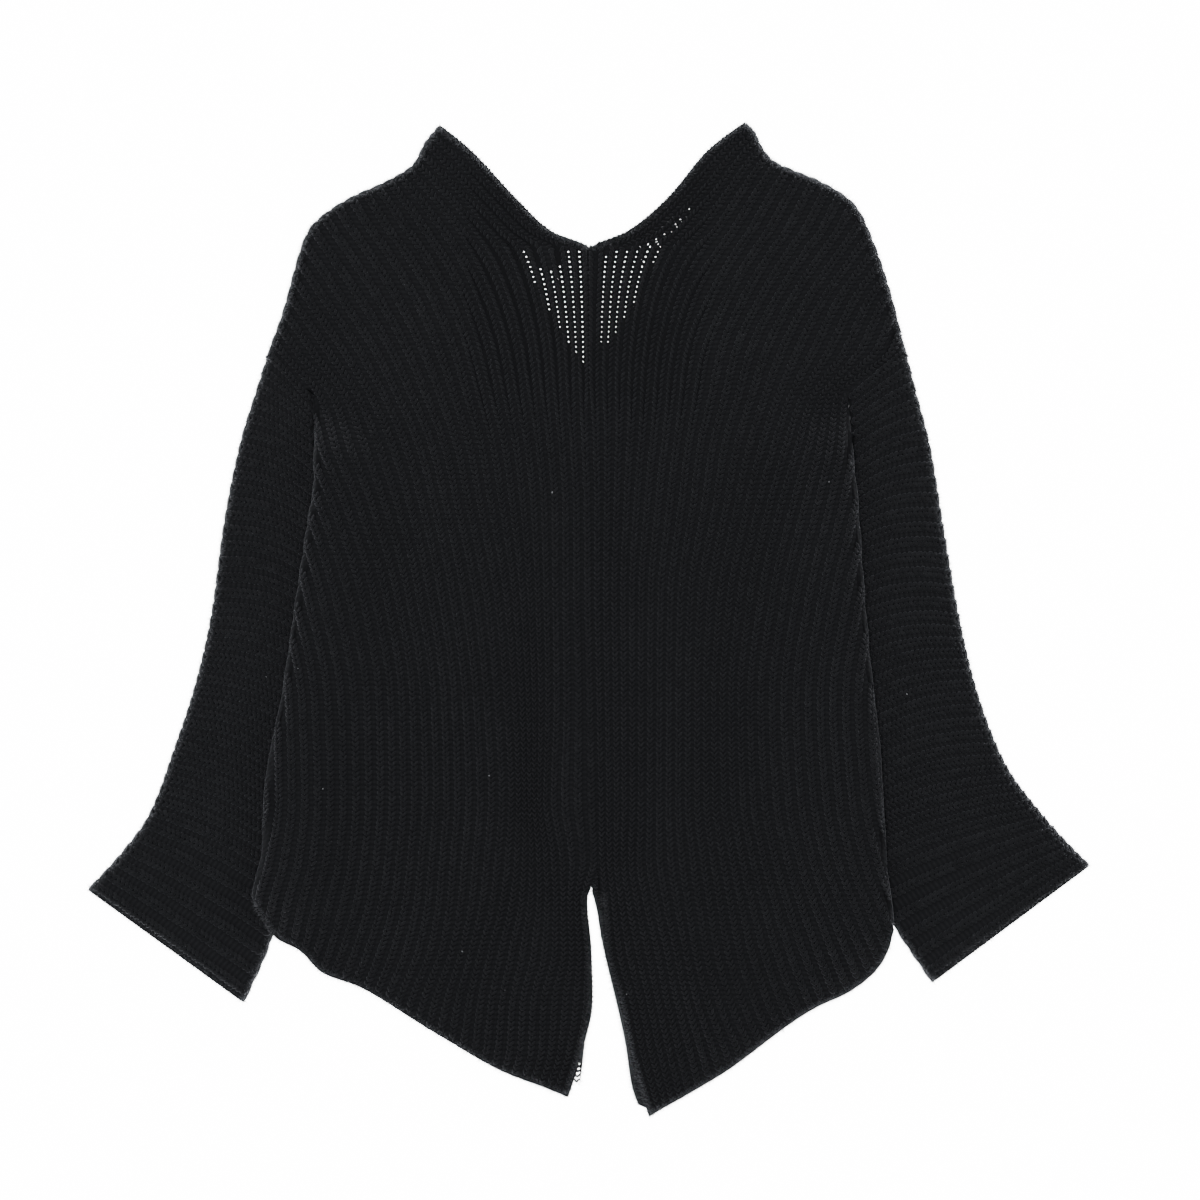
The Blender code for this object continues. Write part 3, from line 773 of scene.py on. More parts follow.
class Nodes:
    """A tree of nodes under construction."""

    tree: bpy.types.NodeTree

    def node(self, kind: str, **settings: object) -> bpy.types.Node:
        """Adds a node with some settings."""
        made = self.tree.nodes.new(kind)
        for key, value in settings.items():
            setattr(made, key, value)
        return made

    def link(self, start: bpy.types.NodeSocket, end: bpy.types.NodeSocket) -> None:
        """Joins two sockets."""
        self.tree.links.new(start, end)

    def feed(self, value: object, socket: bpy.types.NodeSocket) -> None:
        """Links a socket, or sets a value."""
        if isinstance(value, bpy.types.NodeSocket):
            self.link(value, socket)
        else:
            socket.default_value = value

    def maths(self, operation: str, first: object, second: object = 0.0) -> bpy.types.NodeSocket:
        """One step of arithmetic."""
        step = self.node("ShaderNodeMath", operation=operation)
        self.feed(first, step.inputs[0])
        self.feed(second, step.inputs[1])
        return step.outputs[0]


class Finish(Nodes):
    """A procedural material under construction."""

    def __init__(self, name: str) -> None:
        """Starts a material with a plain surface shader."""
        self.material = bpy.data.materials.new(name)
        self.material.use_nodes = True
        self.tree = self.material.node_tree
        self.surface = self.tree.nodes["Principled BSDF"]
        self.coordinates: bpy.types.Node | None = None

    def noise(self, scale: float, detail: float) -> bpy.types.NodeSocket:
        """Noise on the object's own coordinates."""
        if self.coordinates is None:
            self.coordinates = self.node("ShaderNodeTexCoord")
        grain = self.node("ShaderNodeTexNoise")
        grain.inputs["Scale"].default_value = scale
        grain.inputs["Detail"].default_value = detail
        self.link(self.coordinates.outputs["Object"], grain.inputs["Vector"])
        return grain.outputs["Fac"]

    def mix_numbers(
        self, first: bpy.types.NodeSocket, second: bpy.types.NodeSocket, share: float
    ) -> bpy.types.NodeSocket:
        """A mix of two numbers, with the given share of the second."""
        mix = self.node("ShaderNodeMix")
        mix.data_type = "FLOAT"
        mix.inputs[0].default_value = share
        self.link(first, mix.inputs[2])
        self.link(second, mix.inputs[3])
        return mix.outputs[0]

    def ramp(
        self, value: bpy.types.NodeSocket, dark: tuple, light: tuple, low: float, high: float
    ) -> bpy.types.NodeSocket:
        """A colour between two others, by a value from low to high."""
        ramp = self.node("ShaderNodeValToRGB")
        ramp.color_ramp.elements[0].position = low
        ramp.color_ramp.elements[1].position = high
        ramp.color_ramp.elements[0].color = dark
        ramp.color_ramp.elements[1].color = light
        self.link(value, ramp.inputs["Fac"])
        return ramp.outputs["Color"]

    def colour(self, value: bpy.types.NodeSocket) -> None:
        """Sets the surface's colour."""
        self.link(value, self.surface.inputs["Base Color"])

    def bump(self, height: bpy.types.NodeSocket, strength: float, distance: float) -> None:
        """Raises the surface a little by a height."""
        bump = self.node("ShaderNodeBump")
        bump.inputs["Strength"].default_value = strength
        bump.inputs["Distance"].default_value = distance
        self.link(height, bump.inputs["Height"])
        self.link(bump.outputs["Normal"], self.surface.inputs["Normal"])

    def matte(self, roughness: float, sheen: float) -> None:
        """Sets a matte surface with a soft nap."""
        self.surface.inputs["Roughness"].default_value = roughness
        self.surface.inputs["Specular IOR Level"].default_value = 0.1
        self.surface.inputs["Sheen Weight"].default_value = sheen
        self.surface.inputs["Sheen Roughness"].default_value = 0.45
        self.surface.inputs["Sheen Tint"].default_value = (0.86, 0.9, 1.0, 1.0)


class Growth(Nodes):
    """A tree of nodes that grows small shapes on points, with named inputs."""

    def __init__(self, name: str, inputs: dict[str, float | int]) -> None:
        """Starts a tree.

        Args:
            name: the tree's name.
            inputs: its named numbers and their usual values.
        """
        self.tree = bpy.data.node_groups.new(name, "GeometryNodeTree")
        face = self.tree.interface
        face.new_socket("Geometry", in_out="INPUT", socket_type="NodeSocketGeometry")
        for label, value in inputs.items():
            kind = "NodeSocketInt" if isinstance(value, int) else "NodeSocketFloat"
            face.new_socket(label, in_out="INPUT", socket_type=kind).default_value = value
        face.new_socket("Geometry", in_out="OUTPUT", socket_type="NodeSocketGeometry")
        self.start = self.node("NodeGroupInput")
        self.end = self.node("NodeGroupOutput")

    def value(self, label: str) -> bpy.types.NodeSocket:
        """The socket of a named input."""
        return self.start.outputs[label]

    def vector(self, x: object, y: object, z: object) -> bpy.types.NodeSocket:
        """A vector from three numbers."""
        join = self.node("ShaderNodeCombineXYZ")
        for value, socket in zip((x, y, z), join.inputs):
            self.feed(value, socket)
        return join.outputs[0]

    def attribute(self, name: str, kind: str) -> bpy.types.NodeSocket:
        """A named attribute of the points."""
        read = self.node("GeometryNodeInputNamedAttribute", data_type=kind)
        read.inputs["Name"].default_value = name
        return read.outputs["Attribute"]

    def random(self, low: object, high: object, offset: int) -> bpy.types.NodeSocket:
        """A random number for each point, from the tree's seed."""
        draw = self.node("FunctionNodeRandomValue", data_type="FLOAT")
        low_socket, high_socket = [s for s in draw.inputs if s.enabled and s.name in ("Min", "Max")]
        self.feed(low, low_socket)
        self.feed(high, high_socket)
        self.link(self.maths("ADD", self.value("Seed"), float(offset)), draw.inputs["Seed"])
        return next(s for s in draw.outputs if s.enabled)

    def spike(self, fill: str, tip: float) -> bpy.types.NodeSocket:
        """A thin three-sided cone, from the inputs Thickness and Length and its tip's radius."""
        cone = self.node("GeometryNodeMeshCone", fill_type=fill)
        cone.inputs["Vertices"].default_value = 3
        cone.inputs["Radius Top"].default_value = tip
        self.link(self.value("Thickness"), cone.inputs["Radius Bottom"])
        self.link(self.value("Length"), cone.inputs["Depth"])
        return cone.outputs["Mesh"]

    def stand(
        self,
        shape: bpy.types.NodeSocket,
        points: bpy.types.NodeSocket,
        direction: bpy.types.NodeSocket,
        sway: bpy.types.NodeSocket,
        length: bpy.types.NodeSocket,
    ) -> bpy.types.NodeSocket:
        """Stands a shape at each point, along a direction and a sway, stretched to a length."""
        aim = self.node("ShaderNodeVectorMath", operation="ADD")
        self.link(direction, aim.inputs[0])
        self.link(sway, aim.inputs[1])
        turn = self.node("FunctionNodeAlignRotationToVector", axis="Z")
        self.link(aim.outputs[0], turn.inputs["Vector"])
        place = self.node("GeometryNodeInstanceOnPoints")
        self.link(points, place.inputs["Points"])
        self.link(shape, place.inputs["Instance"])
        self.link(turn.outputs[0], place.inputs["Rotation"])
        self.link(self.vector(1.0, 1.0, length), place.inputs["Scale"])
        return place.outputs[0]

    def close(self, grown: bpy.types.NodeSocket, material: bpy.types.Material) -> None:
        """Ends the tree with real geometry and its material."""
        real = self.node("GeometryNodeRealizeInstances")
        dress = self.node("GeometryNodeSetMaterial")
        dress.inputs["Material"].default_value = material
        self.link(grown, real.inputs[0])
        self.link(real.outputs[0], dress.inputs["Geometry"])
        self.link(dress.outputs[0], self.end.inputs[0])

    def grow(self, obj: bpy.types.Object, name: str, values: dict[str, float | int]) -> bpy.types.Object:
        """Runs the tree on an object.

        Args:
            obj: the object whose points or faces it reads; it is removed.
            name: the name of what grows.
            values: the named inputs that differ from the usual ones.

        Returns:
            The result as a plain mesh object.
        """
        modifier = obj.modifiers.new(self.tree.name, "NODES")
        modifier.node_group = self.tree
        for item in self.tree.interface.items_tree:
            if item.item_type == "SOCKET" and item.in_out == "INPUT" and item.name in values:
                modifier[item.identifier] = values[item.name]
        return finished(obj, name)


def loop_tree(material: bpy.types.Material) -> Growth:
    """The tree that lays one leg of yarn at each point.

    Args:
        material: the yarn.

    Returns:
        The tree. Its points carry heading, up, lean and size.
    """
    tree = Growth(
        "loops of yarn",
        {
            "Length": LOOP.length * MM,
            "Width": LOOP.width * MM,
            "Height": LOOP.height * MM,
            "Slant": math.radians(LOOP.slant),
            "Uneven": LOOP.uneven,
            "Sides": LOOP.sides,
            "Rings": LOOP.rings,
            "Seed": 11,
        },
    )
    ball = tree.node("GeometryNodeMeshUVSphere")
    ball.inputs["Radius"].default_value = 0.5
    tree.link(tree.value("Sides"), ball.inputs["Segments"])
    tree.link(tree.value("Rings"), ball.inputs["Rings"])
    smooth = tree.node("GeometryNodeSetShadeSmooth")
    tree.link(ball.outputs["Mesh"], smooth.inputs[0])
    leg = tree.node("GeometryNodeTransform")
    leg.inputs["Rotation"].default_value = (math.pi / 2, 0.0, 0.0)
    tree.link(smooth.outputs[0], leg.inputs[0])
    size = tree.vector(tree.value("Width"), tree.value("Height"), tree.value("Length"))
    tree.link(size, leg.inputs["Scale"])

    frame = tree.node("FunctionNodeAxesToRotation", primary_axis="Z", secondary_axis="Y")
    tree.link(tree.attribute("up", "FLOAT_VECTOR"), frame.inputs["Primary Axis"])
    tree.link(tree.attribute("heading", "FLOAT_VECTOR"), frame.inputs["Secondary Axis"])
    wobble = tree.random(-0.12, 0.12, 1)
    lean = tree.maths("MULTIPLY", tree.attribute("lean", "FLOAT"), tree.value("Slant"))
    spin = tree.node("FunctionNodeAxisAngleToRotation")
    spin.inputs["Axis"].default_value = (0.0, 0.0, 1.0)
    tree.link(tree.maths("ADD", lean, wobble), spin.inputs["Angle"])
    turned = tree.node("FunctionNodeRotateRotation", rotation_space="LOCAL")
    tree.link(frame.outputs[0], turned.inputs["Rotation"])
    tree.link(spin.outputs[0], turned.inputs["Rotate By"])

    below = tree.maths("SUBTRACT", 1.0, tree.value("Uneven"))
    above = tree.maths("ADD", 1.0, tree.value("Uneven"))
    scale = tree.node("ShaderNodeVectorMath", operation="SCALE")
    tree.link(tree.attribute("size", "FLOAT_VECTOR"), scale.inputs[0])
    tree.link(tree.random(below, above, 2), scale.inputs["Scale"])
    place = tree.node("GeometryNodeInstanceOnPoints")
    tree.link(tree.value("Geometry"), place.inputs["Points"])
    tree.link(leg.outputs[0], place.inputs["Instance"])
    tree.link(turned.outputs[0], place.inputs["Rotation"])
    tree.link(scale.outputs[0], place.inputs["Scale"])
    tone = tree.node("GeometryNodeStoreNamedAttribute", data_type="FLOAT", domain="INSTANCE")
    tone.inputs["Name"].default_value = "tone"
    tree.link(place.outputs[0], tone.inputs["Geometry"])
    tree.link(tree.random(0.0, 1.0, 3), tone.inputs["Value"])
    tree.close(tone.outputs[0], material)
    return tree


def nap_tree(material: bpy.types.Material) -> Growth:
    """The tree that scatters short fibres over faces that look up or out.

    Args:
        material: the fibres' finish.

    Returns:
        The tree, for an object whose faces the fibres stand on.
    """
    tree = Growth(
        "nap", {"Density": 90000.0, "Length": 2.6 * MM, "Thickness": 0.07 * MM, "Seed": 5}
    )
    scatter = tree.node("GeometryNodeDistributePointsOnFaces")
    normal = tree.node("GeometryNodeInputNormal")
    parts = tree.node("ShaderNodeSeparateXYZ")
    tree.link(normal.outputs[0], parts.inputs[0])
    tree.link(tree.value("Geometry"), scatter.inputs["Mesh"])
    tree.link(tree.maths("GREATER_THAN", parts.outputs["Z"], -0.1), scatter.inputs["Selection"])
    tree.link(tree.value("Density"), scatter.inputs["Density"])
    tree.link(tree.value("Seed"), scatter.inputs["Seed"])
    spike = tree.spike("NGON", tip=0.0)
    tilt = tree.vector(tree.random(-1.3, 1.3, 1), tree.random(-1.3, 1.3, 2), tree.random(-0.3, 0.5, 3))
    length = tree.random(0.35, 1.4, 4)
    stood = tree.stand(spike, scatter.outputs["Points"], scatter.outputs["Normal"], tilt, length)
    tree.close(stood, material)
    return tree


def fringe_tree(material: bpy.types.Material) -> Growth:
    """The tree that stands one loose fibre at each point, along its away direction.

    Args:
        material: the fibres' finish.

    Returns:
        The tree.
    """
    tree = Growth("fringe", {"Length": 3.2 * MM, "Thickness": 0.11 * MM, "Spread": 0.9, "Seed": 8})
    spike = tree.spike("NONE", tip=0.02 * MM)
    back = tree.maths("MULTIPLY", tree.value("Spread"), -1.0)
    sway = [tree.random(back, tree.value("Spread"), offset) for offset in (1, 2, 3)]
    length = tree.random(0.4, 1.3, 4)
    away = tree.attribute("away", "FLOAT_VECTOR")
    stood = tree.stand(spike, tree.value("Geometry"), away, tree.vector(*sway), length)
    tree.close(stood, material)
    return tree


def grown(tree: Growth, name: str, place: Array, facts: dict[str, Array]) -> bpy.types.Object:
    """Grows a tree on loose points that carry facts.

    Args:
        tree: what grows on the points.
        name: the piece's name.
        place: the points, in millimetres.
        facts: for each point the vectors or numbers that the tree reads, by name.

    Returns:
        The piece, a plain mesh without the facts.
    """
    mesh = bpy.data.meshes.new(name)
    mesh.from_pydata((place * MM).tolist(), [], [])
    for label, values in facts.items():
        kind, member = ("FLOAT_VECTOR", "vector") if values.ndim == 2 else ("FLOAT", "value")
        attribute = mesh.attributes.new(label, kind, "POINT")
        attribute.data.foreach_set(member, values.astype(np.float32).ravel())
    obj = bpy.data.objects.new(name, mesh)
    bpy.context.scene.collection.objects.link(obj)
    piece = tree.grow(obj, name, {})
    for label in facts:
        if label in piece.data.attributes:
            piece.data.attributes.remove(piece.data.attributes[label])
    return piece


def fringe_piece(
    stretches: list[tuple[Array, Array, Array]], name: str, sign: int, tree: Growth
) -> bpy.types.Object:
    """Stands loose fibres along edges.

    Args:
        stretches: for each edge, its plan points, their outward directions and their heights.
        name: the piece's name.
        sign: the sign of its x.
        tree: the tree that stands them.

    Returns:
        The piece, a plain mesh.
    """
    flip = np.array([sign, 1.0, 1.0])
    roots = []
    away = []
    for points, outward, height in stretches:
        run = run_length(points)
        at = np.arange(0.0, run[-1], FRINGE_PITCH)
        direction = read_along(run, outward, at)
        inset = FRINGE_INSET * (np.arange(len(at)) * GOLDEN % 1.0) ** 2
        plan = read_along(run, points, at) - direction * inset[:, None]
        level = np.interp(at, run, height) + np.minimum(2.0 * inset, FRINGE_RISE)
        roots.append(np.concatenate([plan, level[:, None]], axis=1))
        away.append(np.concatenate([direction, np.full((len(at), 1), 0.1)], axis=1))
    return grown(tree, name, np.concatenate(roots) * flip, {"away": np.concatenate(away) * flip})


def loops_piece(loops: Loops, name: str, sign: int, tree: Growth) -> bpy.types.Object:
    """Lays the loops as one piece.

    Args:
        loops: where they lie.
        name: the piece's name.
        sign: the sign of its x.
        tree: the tree that lays them.

    Returns:
        The piece, a plain mesh.
    """
    flip = np.array([sign, 1.0, 1.0])
    facts = {
        "heading": np.concatenate(loops.heading) * flip,
        "up": np.concatenate(loops.up) * flip,
        "size": np.concatenate(loops.size),
        "lean": np.concatenate(loops.lean) * sign,
    }
    return grown(tree, name, np.concatenate(loops.place) * flip, facts)


@dataclass
class BackHalf:
    """Half of the back: a ribbed panel that turns down at the shoulder and at the side."""

    lay: Lay
    fold_turns: tuple = (30, 60, 90, 120, 150, 180)
    fractions: tuple = (0.0, 0.25, 0.5, 0.75)
    hole_half: float = 0.033
    hole_height: float = 0.7
    open_top: float = 298.0
    open_bottom: float = 170.0
    row: float = 7.0
    clear: float = 3.0
    shortest: float = 30.0
    armpit: int = 6
    highest: float = 346.0
    lowest: float = -347.0
    drawn_below: tuple = (-50.0, 10.0)
    drawn_out: tuple = (-92.0, -70.0)
    seam_top: float = 259.0
    seam_bottom: float = -190.0
    flat: tuple = (0.33, 0.70)
    cloth_area: float = 0.150

    def numbers(self) -> list[float]:
        """The rib numbers at which the ground has a line, a pair round each column of holes."""
        made = set()
        for rib in range(int(self.lay.guides[-1])):
            made |= {rib + part for part in self.fractions}
        for hole, _ in self.lay.cut.holes:
            made -= {number for number in made if abs(number - hole) < 2 * self.hole_half}
            made |= {round(hole - self.hole_half, 3), round(hole + self.hole_half, 3)}
        return sorted(made | {0.0})

    def column(self, number: float) -> int | None:
        """The column of holes whose rim a line is, if any."""
        for index, (hole, _) in enumerate(self.lay.cut.holes):
            if abs(abs(number - hole) - self.hole_half) < 0.002:
                return index
        return None

    def rows(self, number: float) -> Array:
        """The y of a line's points, with a pair for each hole beside a column of holes."""
        rows = np.arange(self.highest, self.lowest, -self.row)
        if number == 0:
            rows = np.concatenate([rows, np.arange(self.open_top, self.open_bottom, -self.row / 4)])
            return np.unique(rows)[::-1]
        column = self.column(number)
        if column is not None:
            top = self.open_top - (column % 2) * KNIT.row_pitch / 2
            upper = np.arange(top, self.open_bottom, -KNIT.row_pitch)
            beyond = (rows > self.open_top + 2) | (rows < self.open_bottom - 4)
            rows = np.concatenate([rows[beyond], upper, upper - self.hole_height])
        return np.sort(rows)[::-1]

    def is_open(self, column: int, y: float) -> bool:
        """Whether a column of holes is open at a height."""
        hole, length = self.lay.cut.holes[column]
        out = self.lay.rib(hole, [y])[0]
        edge = np.array(self.lay.cut.open, float)
        if out > edge[-1, 0]:
            return False
        highest = np.interp(out, edge[:, 0], edge[:, 1])
        lowest = np.interp(out, edge[:, 0], edge[:, 2])
        return bool(max(lowest, highest - length) < y < highest)

    def lines(self) -> tuple[list[float], list[Array]]:
        """The lines of the ground, from the middle to the side fold."""
        lay = self.lay
        top, bottom = lay.middle[0, 1], lay.middle[-1, 1]
        rows = self.rows(0.0)
        inside = (rows < top - self.clear) & (rows > bottom + self.clear)
        kept = np.concatenate([[top], rows[inside], [bottom]])
        numbers = [0.0]
        lines = [np.stack([lay.rib(0, kept), kept], axis=1)]
        for number in self.numbers()[1:]:
            points = lay.line(number, lay.loop, self.rows(number), self.clear)
            if points is None or np.ptp(points[:, 1]) < self.shortest:
                continue
            if number == lay.cut.split:
                below = points[points[:, 1] < lay.armpit[1] - self.clear]
                share = np.linspace(0, 1, self.armpit + 1)[:, None]
                edge = lay.split_top + share * (lay.armpit - lay.split_top)
                points = np.concatenate([edge, below])
            numbers.append(number)
            lines.append(points)
        rim = lines[-1]
        rim[1:-1, 0] = eased(lay.side[::-1, 1], lay.side[::-1, 0], rim[1:-1, 1])
        return numbers, lines

    @property
    def node(self) -> str:
        """The name of the solid that it dresses."""
        return "back_" + self.lay.name

    def ground(self, material: bpy.types.Material) -> bpy.types.Object:
        """Builds the wall behind the loops, with its holes and its turned folds."""
        lay = self.lay
        numbers, lines = self.lines()
        at = numbers.index(lay.cut.split)
        wall = Ground()
        level = KNIT.panel_under + KNIT.wall / 2
        top = []
        for number, points in zip(numbers, lines):
            z = level + lay.lift(points) + KNIT.ground_rise * relief(number)
            row = points[:, 1] / KNIT.row_pitch
            top.append([wall.add(*p, h, number, v) for p, h, v in zip(points, z, row)])
        for j in range(len(lines) - 1):
            first = top[j][self.armpit :] if j == at else top[j]
            self.strip(wall, numbers[j], numbers[j + 1], lines[j], lines[j + 1], first, top[j + 1])
        self.folds(wall, numbers, lines, top, at)
        return wall.piece(self.node + "_ground", lay.sign, material)

    def strip(
        self,
        wall: Ground,
        rib: float,
        next_rib: float,
        line: Array,
        next_line: Array,
        first: list[int],
        second: list[int],
    ) -> None:
        """Joins two lines of the ground, leaving every other cell open where it shows holes."""
        column = self.column(rib)
        shared = [y for y in line[1:-1, 1] if y in set(next_line[1:-1, 1])]
        shared = [y for y in shared if self.open_bottom <= y <= self.open_top]
        if column is None or column != self.column(next_rib) or len(shared) < 2:
            wall.stitch(first, second)
            return
        a = [first[int(np.where(line[:, 1] == y)[0][0])] for y in shared]
        b = [second[int(np.where(next_line[:, 1] == y)[0][0])] for y in shared]
        wall.stitch(first[: first.index(a[0]) + 1], second[: second.index(b[0]) + 1])
        for k in range(len(shared) - 1):
            high, low = shared[k], shared[k + 1]
            is_hole = abs(high - low - self.hole_height) < 0.05
            if is_hole and self.is_open(column, (high + low) / 2):
                continue
            wall.faces.append((a[k], a[k + 1], b[k + 1]))
            wall.faces.append((a[k], b[k + 1], b[k]))
        wall.stitch(first[first.index(a[-1]) :], second[second.index(b[-1]) :])

    def folds(
        self,
        wall: Ground,
        numbers: list[float],
        lines: list[Array],
        top: list[list[int]],
        at: int,
    ) -> None:
        """Turns the ground down round the shoulder fold and the side fold."""
        lay = self.lay
        over_arm = [(j, 0) for j in range(1, at + 1)]
        last = len(lines) - 1
        down_side = [(at, self.armpit)] + [(j, 0) for j in range(at + 1, last + 1)]
        down_side += [(last, k) for k in range(1, len(lines[-1]))]
        corners = [(j, len(lines[j]) - 1) for j in range(last - 1, 0, -1)]
        down_side += [(j, k) for j, k in corners if lines[j][k, 1] > lay.side[-1, 1] + 1]
        ring = [(j, 0) for j in range(0, at + 1)] + [(at, self.armpit)] + down_side
        ring += [(j, k) for j, k in corners if (j, k) not in down_side] + [(0, len(lines[0]) - 1)]
        plan = np.array([lines[j][k] for j, k in ring])
        outward = dict(zip(ring, ring_normals(plan)))
        for part in (over_arm, down_side):
            chains = []
            for j, k in part:
                point = lines[j][k]
                rise = KNIT.ground_rise * relief(numbers[j])
                raised = lay.lift(point[None])[0]
                centre = point - outward[(j, k)] * KNIT.reach
                middle = raised + KNIT.fold_radius
                vertex = wall.points[top[j][k]]
                vertex[:2] = centre
                chain = [top[j][k]]
                row = wall.knit[top[j][k]][1]
                for turn in self.fold_turns:
                    angle = math.radians(turn)
                    radius = KNIT.fold_radius - KNIT.wall / 2 + rise * min(1.0, 1.0 + math.cos(angle))
                    x, y = centre + outward[(j, k)] * (radius + KNIT.fold_out) * math.sin(angle)
                    z = middle + radius * math.cos(angle)
                    chain.append(wall.add(x, y, z, numbers[j], row + turn / 60))
                chains.append(chain)
            for first, second in zip(chains, chains[1:]):
                wall.stitch(first, second)

    def crest(self, rib: int) -> tuple[Array, Array, Array, Array, float] | None:
        """The path of a rib's crest over the panel and round its folds.

        Args:
            rib: the rib before which the gutter of that number lies.

        Returns:
            The path, its normals, the loops' width and spread along it and the anchor of its
            rows, or None.
        """
        lay = self.lay
        number = rib + 0.5
        ends = lay.line(number, lay.loop, np.array([]), 0.0)
        if ends is None or np.ptp(ends[:, 1]) < 6.0:
            return None
        reach = KNIT.reach
        folded = []
        for end in (ends[0], ends[-1]):
            gap, _ = lay.from_fold(end[None])
            near_hem = end[1] < lay.side[-1, 1] + 1
            folded.append(abs(gap[0]) < 1.5 and not near_hem)
        high = ends[0, 1] + (9.0 if folded[0] else -1.0)
        low = ends[-1, 1] - (9.0 if folded[1] else -1.0)
        y = np.arange(high, low, -0.5)
        slip = lay.cut.slip * self.parted(number, y) * (lay.rib(rib + 1, y) - lay.rib(rib, y))
        plan = np.stack([lay.rib(number, y) + slip, y], axis=1)
        gap, outward = lay.from_fold(plan)
        keep = gap > -reach * np.where(lay.lift(plan) > 3.0, 0.7, 0.1)
        keep &= within(plan, lay.loop) | (np.abs(gap) < reach)
        plan, gap, outward, y = plan[keep], gap[keep], outward[keep], y[keep]
        if len(plan) < 8:
            return None
        raised = lay.lift(plan)
        radius = KNIT.fold_radius + KNIT.loop_level
        sine = np.clip((reach - np.abs(gap)) / reach, 0.0, 1.0)
        cosine = np.sqrt(1 - sine**2) * np.where(gap < 0, -1.0, 1.0)
        on_fold = gap < reach
        edge = plan + outward * gap[:, None]
        centre = edge - outward * reach
        turned = centre + outward * (radius * sine)[:, None]
        x_y = np.where(on_fold[:, None], turned, plan)
        z = raised + KNIT.fold_radius + np.where(on_fold, radius * cosine, radius)
        step = 2.0
        slope_x = (lay.lift(plan + [step, 0]) - lay.lift(plan - [step, 0])) / (2 * step)
        slope_y = (lay.lift(plan + [0, step]) - lay.lift(plan - [0, step])) / (2 * step)
        flat_up = unit(np.stack([-slope_x, -slope_y, np.ones(len(plan))], axis=1))
        fold_up = np.concatenate([outward * sine[:, None], cosine[:, None]], axis=1)
        up = np.where(on_fold[:, None], fold_up, flat_up)
        path = np.concatenate([x_y, z[:, None]], axis=1)
        lean = np.gradient(lay.rib(number, y), y)
        pitch = (lay.rib(rib + 1, y) - lay.rib(rib, y)) / np.sqrt(1 + lean**2)
        share = pitch / KNIT.rib_pitch
        parted = self.parted(number, y)
        width = np.clip(share * (1 - parted * LOOP.slimmer), 0.5, 1.5)
        spread = share * (LOOP.offset + parted * (KNIT.rib_pitch / 4 - LOOP.offset))
        run = run_length(path)
        anchor = float(run[int(np.argmin(np.abs(y)))])
        return path, up, width, spread, anchor

    def parted(self, number: float, y: Array) -> Array:
        """How far the stitches of a rib are drawn apart at each y, from 0 to 1."""
        low, high = (self.open_bottom + more for more in self.drawn_below)
        return smoothstep(low, high, y) * smoothstep(*self.drawn_out, -self.lay.rib(number, y))

    def loops(self) -> Loops:
        """Where the loops of every rib lie, with a chain along the neck's and the vent's edge."""
        made = Loops()
        for rib in range(int(self.lay.guides[-1]) + 1):
            if rib + 0.5 > self.lay.guides[-1] + 1:
                break
            found = self.crest(rib)
            if found is not None:
                made.follow(*found)
        for low, high in ((self.seam_top, 400.0), (-400.0, self.seam_bottom)):
            start = min(high, self.lay.middle[0, 1]) - 1.5
            y = np.arange(start, max(low, self.lay.middle[-1, 1]) + 1.5, -0.7)
            plan = np.stack([self.lay.rib(0, y), y], axis=1)
            level = KNIT.panel_under + KNIT.wall - 0.4 + self.lay.lift(plan)
            curve = moved_left(plan, 0.8)
            path = np.concatenate([curve, level[:, None]], axis=1)
            up = np.tile([-0.35, 0.0, 1.0], (len(y), 1))
            slim = np.full(len(y), 0.62)
            made.follow(path, up, slim, slim, 0.0, (1,))
        return made

    def edges(self) -> list[tuple[Array, Array, Array]]:
        """The edges and folds from which loose fibres stand."""
        lay = self.lay
        outward = ring_normals(lay.loop)
        level = KNIT.panel_under + KNIT.wall / 2 + lay.lift(lay.loop)
        first_middle = len(lay.shoulder) + len(lay.side) + len(lay.hem) - 1
        number = np.arange(len(lay.loop))
        y = lay.loop[:, 1]
        folded = number < len(lay.shoulder)
        hem = (number > len(lay.shoulder) + len(lay.side)) & (number < first_middle)
        vent = (number >= first_middle) & (y < self.seam_bottom)
        neck = (number >= first_middle) & (y > self.seam_top)
        return [(lay.loop[part], outward[part], level[part]) for part in (folded, hem, vent, neck)]


